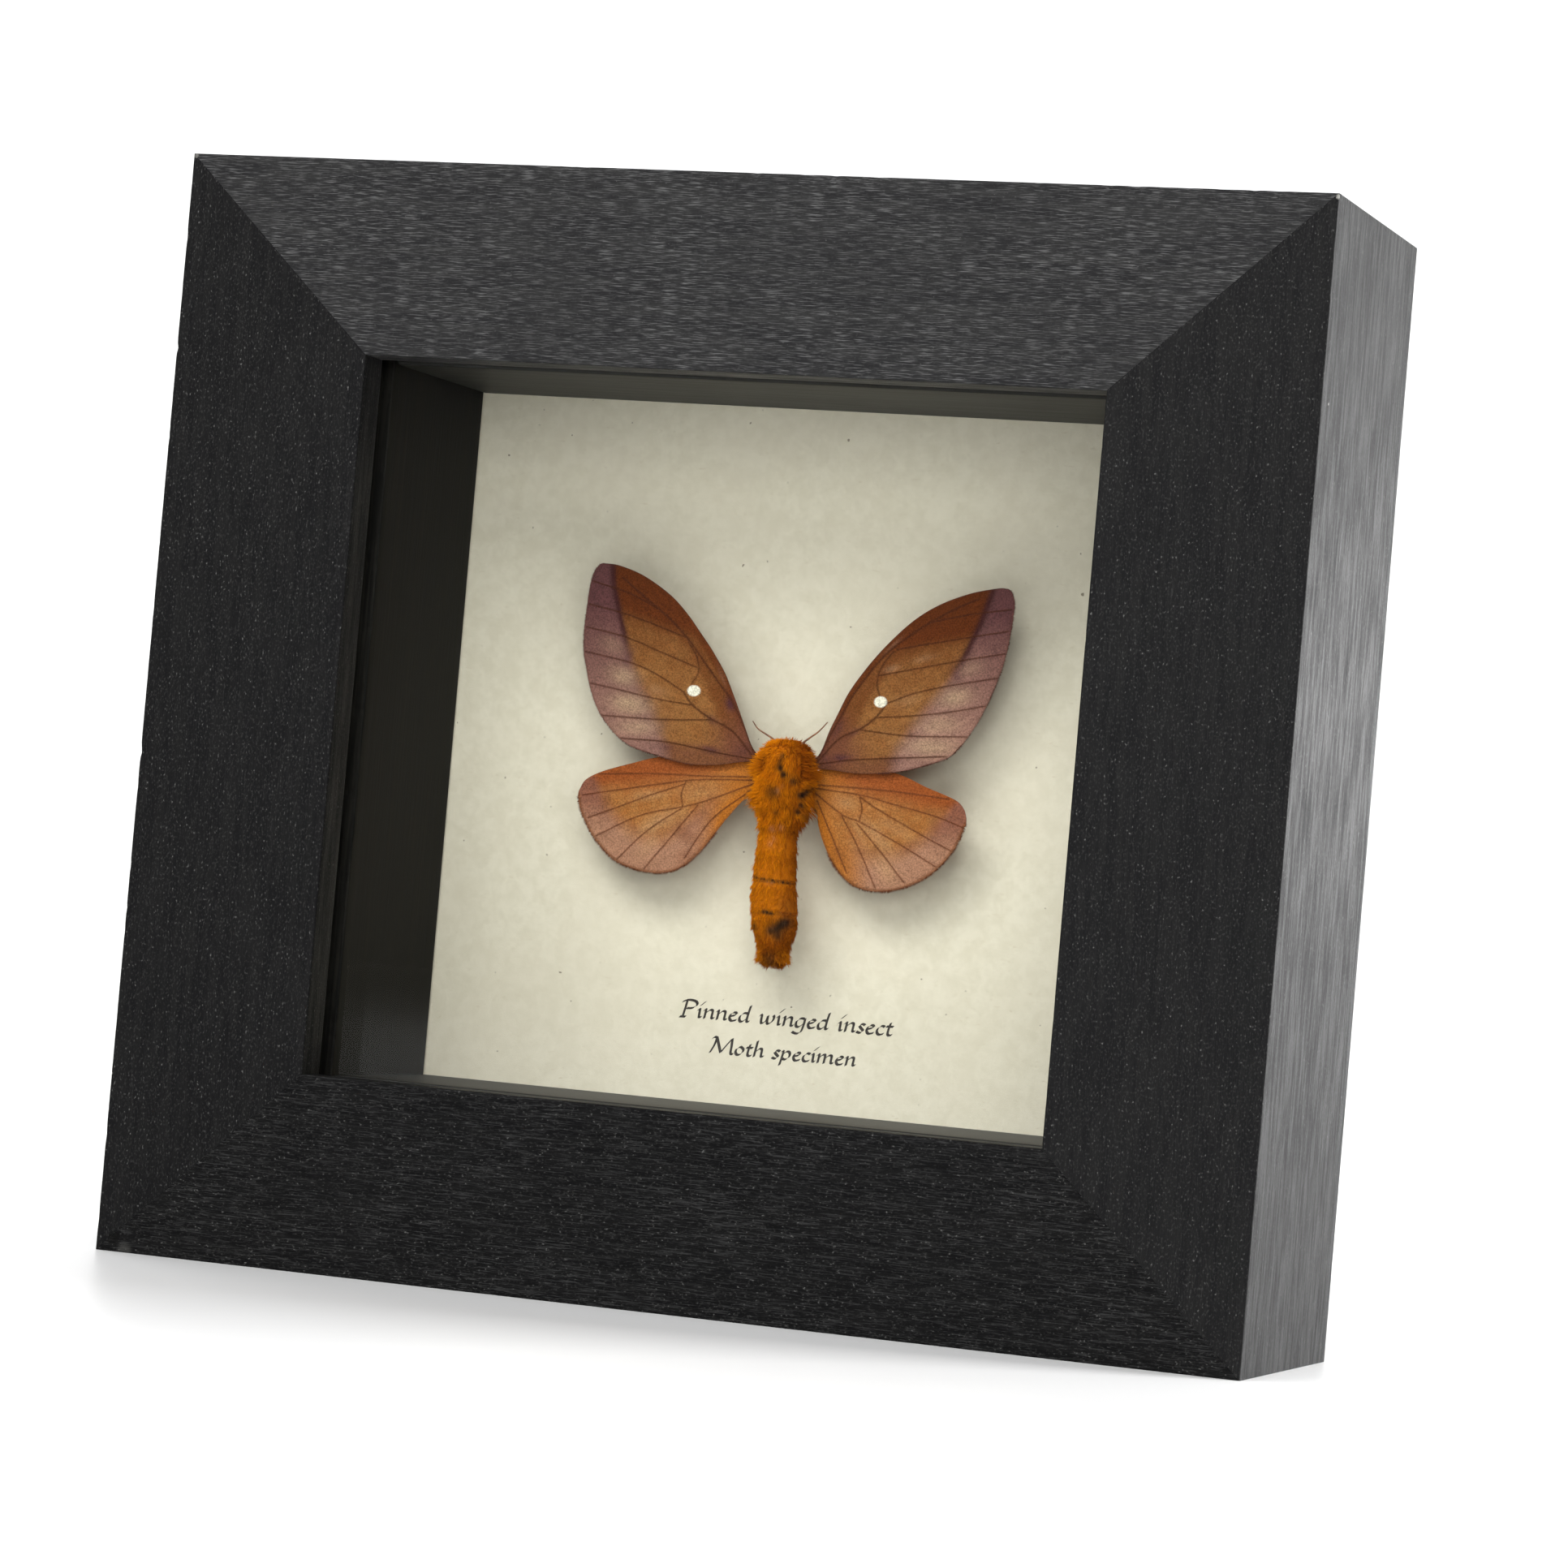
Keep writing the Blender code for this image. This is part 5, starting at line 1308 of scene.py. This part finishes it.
def rail(word, along, seed):
    """An L-shaped profile carried between two mitres, its faces faintly waved and its arrises dented.

    The profile's corners are rounded. Its place along the rail stops at the mitre: half length less the
    share of the end rail's width that the profile point has reached.
    """
    half_length = (cad_box[1].x - cad_box[0].x) / 2
    half_span = (cad_box[1].z - cad_box[0].z) / 2
    end_width = cad_box[1].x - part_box("rail_right")[0].x
    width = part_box("rail_bottom")[1].z - cad_box[0].z
    rebate = pane_high.x + PANE_PLAY - (cad_box[1].x - end_width)
    if along == "Z":
        half_length, half_span = half_span, half_length
        width, end_width = end_width, width
    lip = pane_low.y - PANE_PLAY
    front, back = cad_box[0].y, cad_box[1].y
    step = width - rebate
    profile = rounded_corners(
        [(front, 0.0), (back, 0.0), (back, step), (lip, step), (lip, width), (front, width)],
        [0.28 * MM, 0.6 * MM, 0.2 * MM, 0.05 * MM, 0.2 * MM, 0.3 * MM])
    share = np.linspace(-1, 1, 220)[:, None]
    y, inward = profile[None, :, 0], profile[None, :, 1]
    reach = half_length - inward * end_width / width - MITRE_HAIRLINE
    run = share * reach
    calm = np.clip((1 - np.abs(share)) * 12, 0, 1)
    wave = 0.030 * MM * ripple(run / MM, (y + inward) / MM * 1.7, seed) * calm
    random = np.random.default_rng(seed)
    dents = np.zeros_like(run)
    for _ in range(DENTS):
        centre = random.uniform(-0.95, 0.95) * half_length
        deep = random.uniform(0.03, 0.13) * MM
        wide = random.uniform(0.3, 0.8) * MM
        dents += deep * np.exp(-((run - centre) / wide) ** 2)
    outer, inner = np.exp(-(inward / ARRIS_REACH) ** 2), np.exp(-((inward - width) / ARRIS_REACH) ** 2)
    arris = np.exp(-((y - front) / ARRIS_REACH) ** 2) * (outer + inner)
    push = np.abs(wave) + dents * arris * calm
    to_core = unit(np.stack([(front + back) / 2 - y, width / 2 - inward], axis=-1))
    y = y + push * to_core[..., 0]
    inward = inward + push * to_core[..., 1] * (inward < width * 0.6)
    sideways = half_span - inward
    middle_z = (cad_box[0].z + cad_box[1].z) / 2
    sign = -1 if word in ("left", "bottom") else 1
    if along == "X":
        rings = np.stack([run, y + 0 * run, middle_z + sign * sideways], axis=-1)
    else:
        rings = np.stack([sign * sideways, y + 0 * run, middle_z + run], axis=-1)
    wood = black_wood_material("stained_wood_" + word, along, RAIL_LOOKS[word], seed)
    piece = carried("wood_rail_" + word, rings, wood, 35.0)
    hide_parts("rail_" + word)


for word, along, seed in (("top", "X", 41), ("bottom", "X", 42), ("left", "Z", 43), ("right", "Z", 44)):
    rail(word, along, seed)

# Back fittings: four thin steel points pressed into the rails, which hold the board in the rebate,
# and a sawtooth hanger of zinc-plated sheet, fixed to the board by two nails.


def zinc_material():
    """Zinc-plated sheet: fine brushing, dull patches and a few darker stains."""
    material, tree, shader = shader_material("zinc_plate", 0.35, (("Metallic", 1.0),))
    brushed = noise(tree, object_space(tree, (300, 4000, 4000)), 1.0, 2.0, 0.6)
    stains = noise(tree, object_space(tree, 400), 1.0, 3.0, 0.6)
    colour = blend_colour(tree, between(tree, stains, 0.45, 0.75), (0.40, 0.40, 0.39), (0.22, 0.215, 0.205))
    put(tree, shader.inputs["Base Color"], colour)
    put(tree, shader.inputs["Roughness"], between(tree, brushed, 0.3, 0.7, 0.36, 0.54))
    raise_bumps(tree, shader, brushed, 0.01 * MM)
    return material


zinc = zinc_material()
for fitting in ("point_top", "point_bottom", "point_left", "point_right", "hanger_plate", "hanger_nail_left",
                "hanger_nail_right"):
    dress(fitting, zinc)

# Setting: a white paper sweep for a floor, soft lights in front and above, others low and at the
# sides to bring out the edges, and a pale sky.
SWEEP_BEND = 0.35
SWEEP_FRONT = -2.2
SWEEP_BACK = 0.55
SWEEP_HEIGHT = 2.4
SWEEP_HALF_WIDTH = 2.5


def sweep_sheet(name):
    """A floor that bends up into a wall: a line, a quarter circle of the bend's radius, and a line."""
    turn = np.linspace(0, math.pi / 2, 24)
    y = np.concatenate([[SWEEP_FRONT, SWEEP_BACK], SWEEP_BACK + SWEEP_BEND * np.sin(turn[1:]),
                        [SWEEP_BACK + SWEEP_BEND]])
    z = np.concatenate([[0.0, 0.0], SWEEP_BEND - SWEEP_BEND * np.cos(turn[1:]), [SWEEP_HEIGHT]])
    x = np.array([-SWEEP_HALF_WIDTH, SWEEP_HALF_WIDTH])
    points = np.stack([np.repeat(x, len(y)), np.tile(y, 2), np.tile(z, 2)], axis=-1)
    quads = [(k, k + 1, len(y) + k + 1, len(y) + k) for k in range(len(y) - 1)]
    mesh = bpy.data.meshes.new(name)
    mesh.from_pydata(points.tolist(), [], quads)
    mesh.flip_normals()
    mesh.shade_smooth()
    material, _, _ = shader_material("white_sweep", 0.36, (("Base Color", (0.93, 0.93, 0.93, 1.0)),))
    mesh.materials.append(material)
    sheet = bpy.data.objects.new(name, mesh)
    bpy.context.scene.collection.objects.link(sheet)


sweep_sheet("white_sweep")


def soft_light(name, place, aim, width, height, power):
    """A rectangular soft light that faces its aim."""
    data = bpy.data.lights.new(name, "AREA")
    data.shape = "RECTANGLE"
    data.size = width
    data.size_y = height
    data.energy = power
    lamp = bpy.data.objects.new(name, data)
    lamp.location = place
    lamp.rotation_euler = (Vector(aim) - Vector(place)).to_track_quat("-Z", "Y").to_euler()
    bpy.context.scene.collection.objects.link(lamp)


FRAME_MIDDLE = Vector((0.0, 0.0, 0.065))
# Each lamp: its bearing from the front and its height above level in degrees, distance, size and power
LAMPS = (
    ("front_high_light", 8, 38, 1.2, 0.75, 0.55, 7.8),
    ("left_high_light", -25, 42, 1.2, 0.50, 0.50, 6.1),
    ("low_fill_light", 22, 10, 1.2, 1.00, 0.30, 5.0),
    ("left_fill_light", -40, 12, 1.2, 0.50, 0.40, 1.5),
    ("right_edge_light", 120, 18, 1.2, 0.60, 0.60, 23.0),
    ("left_edge_light", -120, 22, 1.2, 0.60, 0.60, 5.0),
    ("side_sheen_light", 160, -3, 0.85, 0.34, 0.25, 5.0),
)
for word, bearing, rise, distance, width, height, power in LAMPS:
    a = math.radians(bearing)
    b = math.radians(rise)
    heading = Vector((math.sin(a) * math.cos(b), -math.cos(a) * math.cos(b), math.sin(b)))
    soft_light(word, FRAME_MIDDLE + distance * heading, FRAME_MIDDLE, width, height, power)

SKY_STRENGTH = 0.08
world = bpy.data.worlds.new("pale_sky")
bpy.context.scene.world = world
world.use_nodes = True
world.node_tree.nodes["Background"].inputs["Color"].default_value = (1.0, 1.0, 1.0, 1.0)
world.node_tree.nodes["Background"].inputs["Strength"].default_value = SKY_STRENGTH

# Camera: a long lens a little to the right of the frame and level with it, turned slightly on its own
# axis, as it was held for the photo. The turns are in degrees about X, Y and Z.
SENSOR_MM = 36.0
LENS_MM = 117.4
CAMERA_PLACE = (0.2056, -0.5675, 0.0460)
CAMERA_TURNS = (91.52, -4.955, 19.414)

camera_data = bpy.data.cameras.new("camera")
camera_data.sensor_width = SENSOR_MM
camera_data.lens = LENS_MM
camera = bpy.data.objects.new("camera", camera_data)
camera.location = CAMERA_PLACE
camera.rotation_euler = Euler([math.radians(turn) for turn in CAMERA_TURNS])
bpy.context.scene.collection.objects.link(camera)
bpy.context.scene.camera = camera
bpy.context.scene.view_settings.view_transform = "Standard"
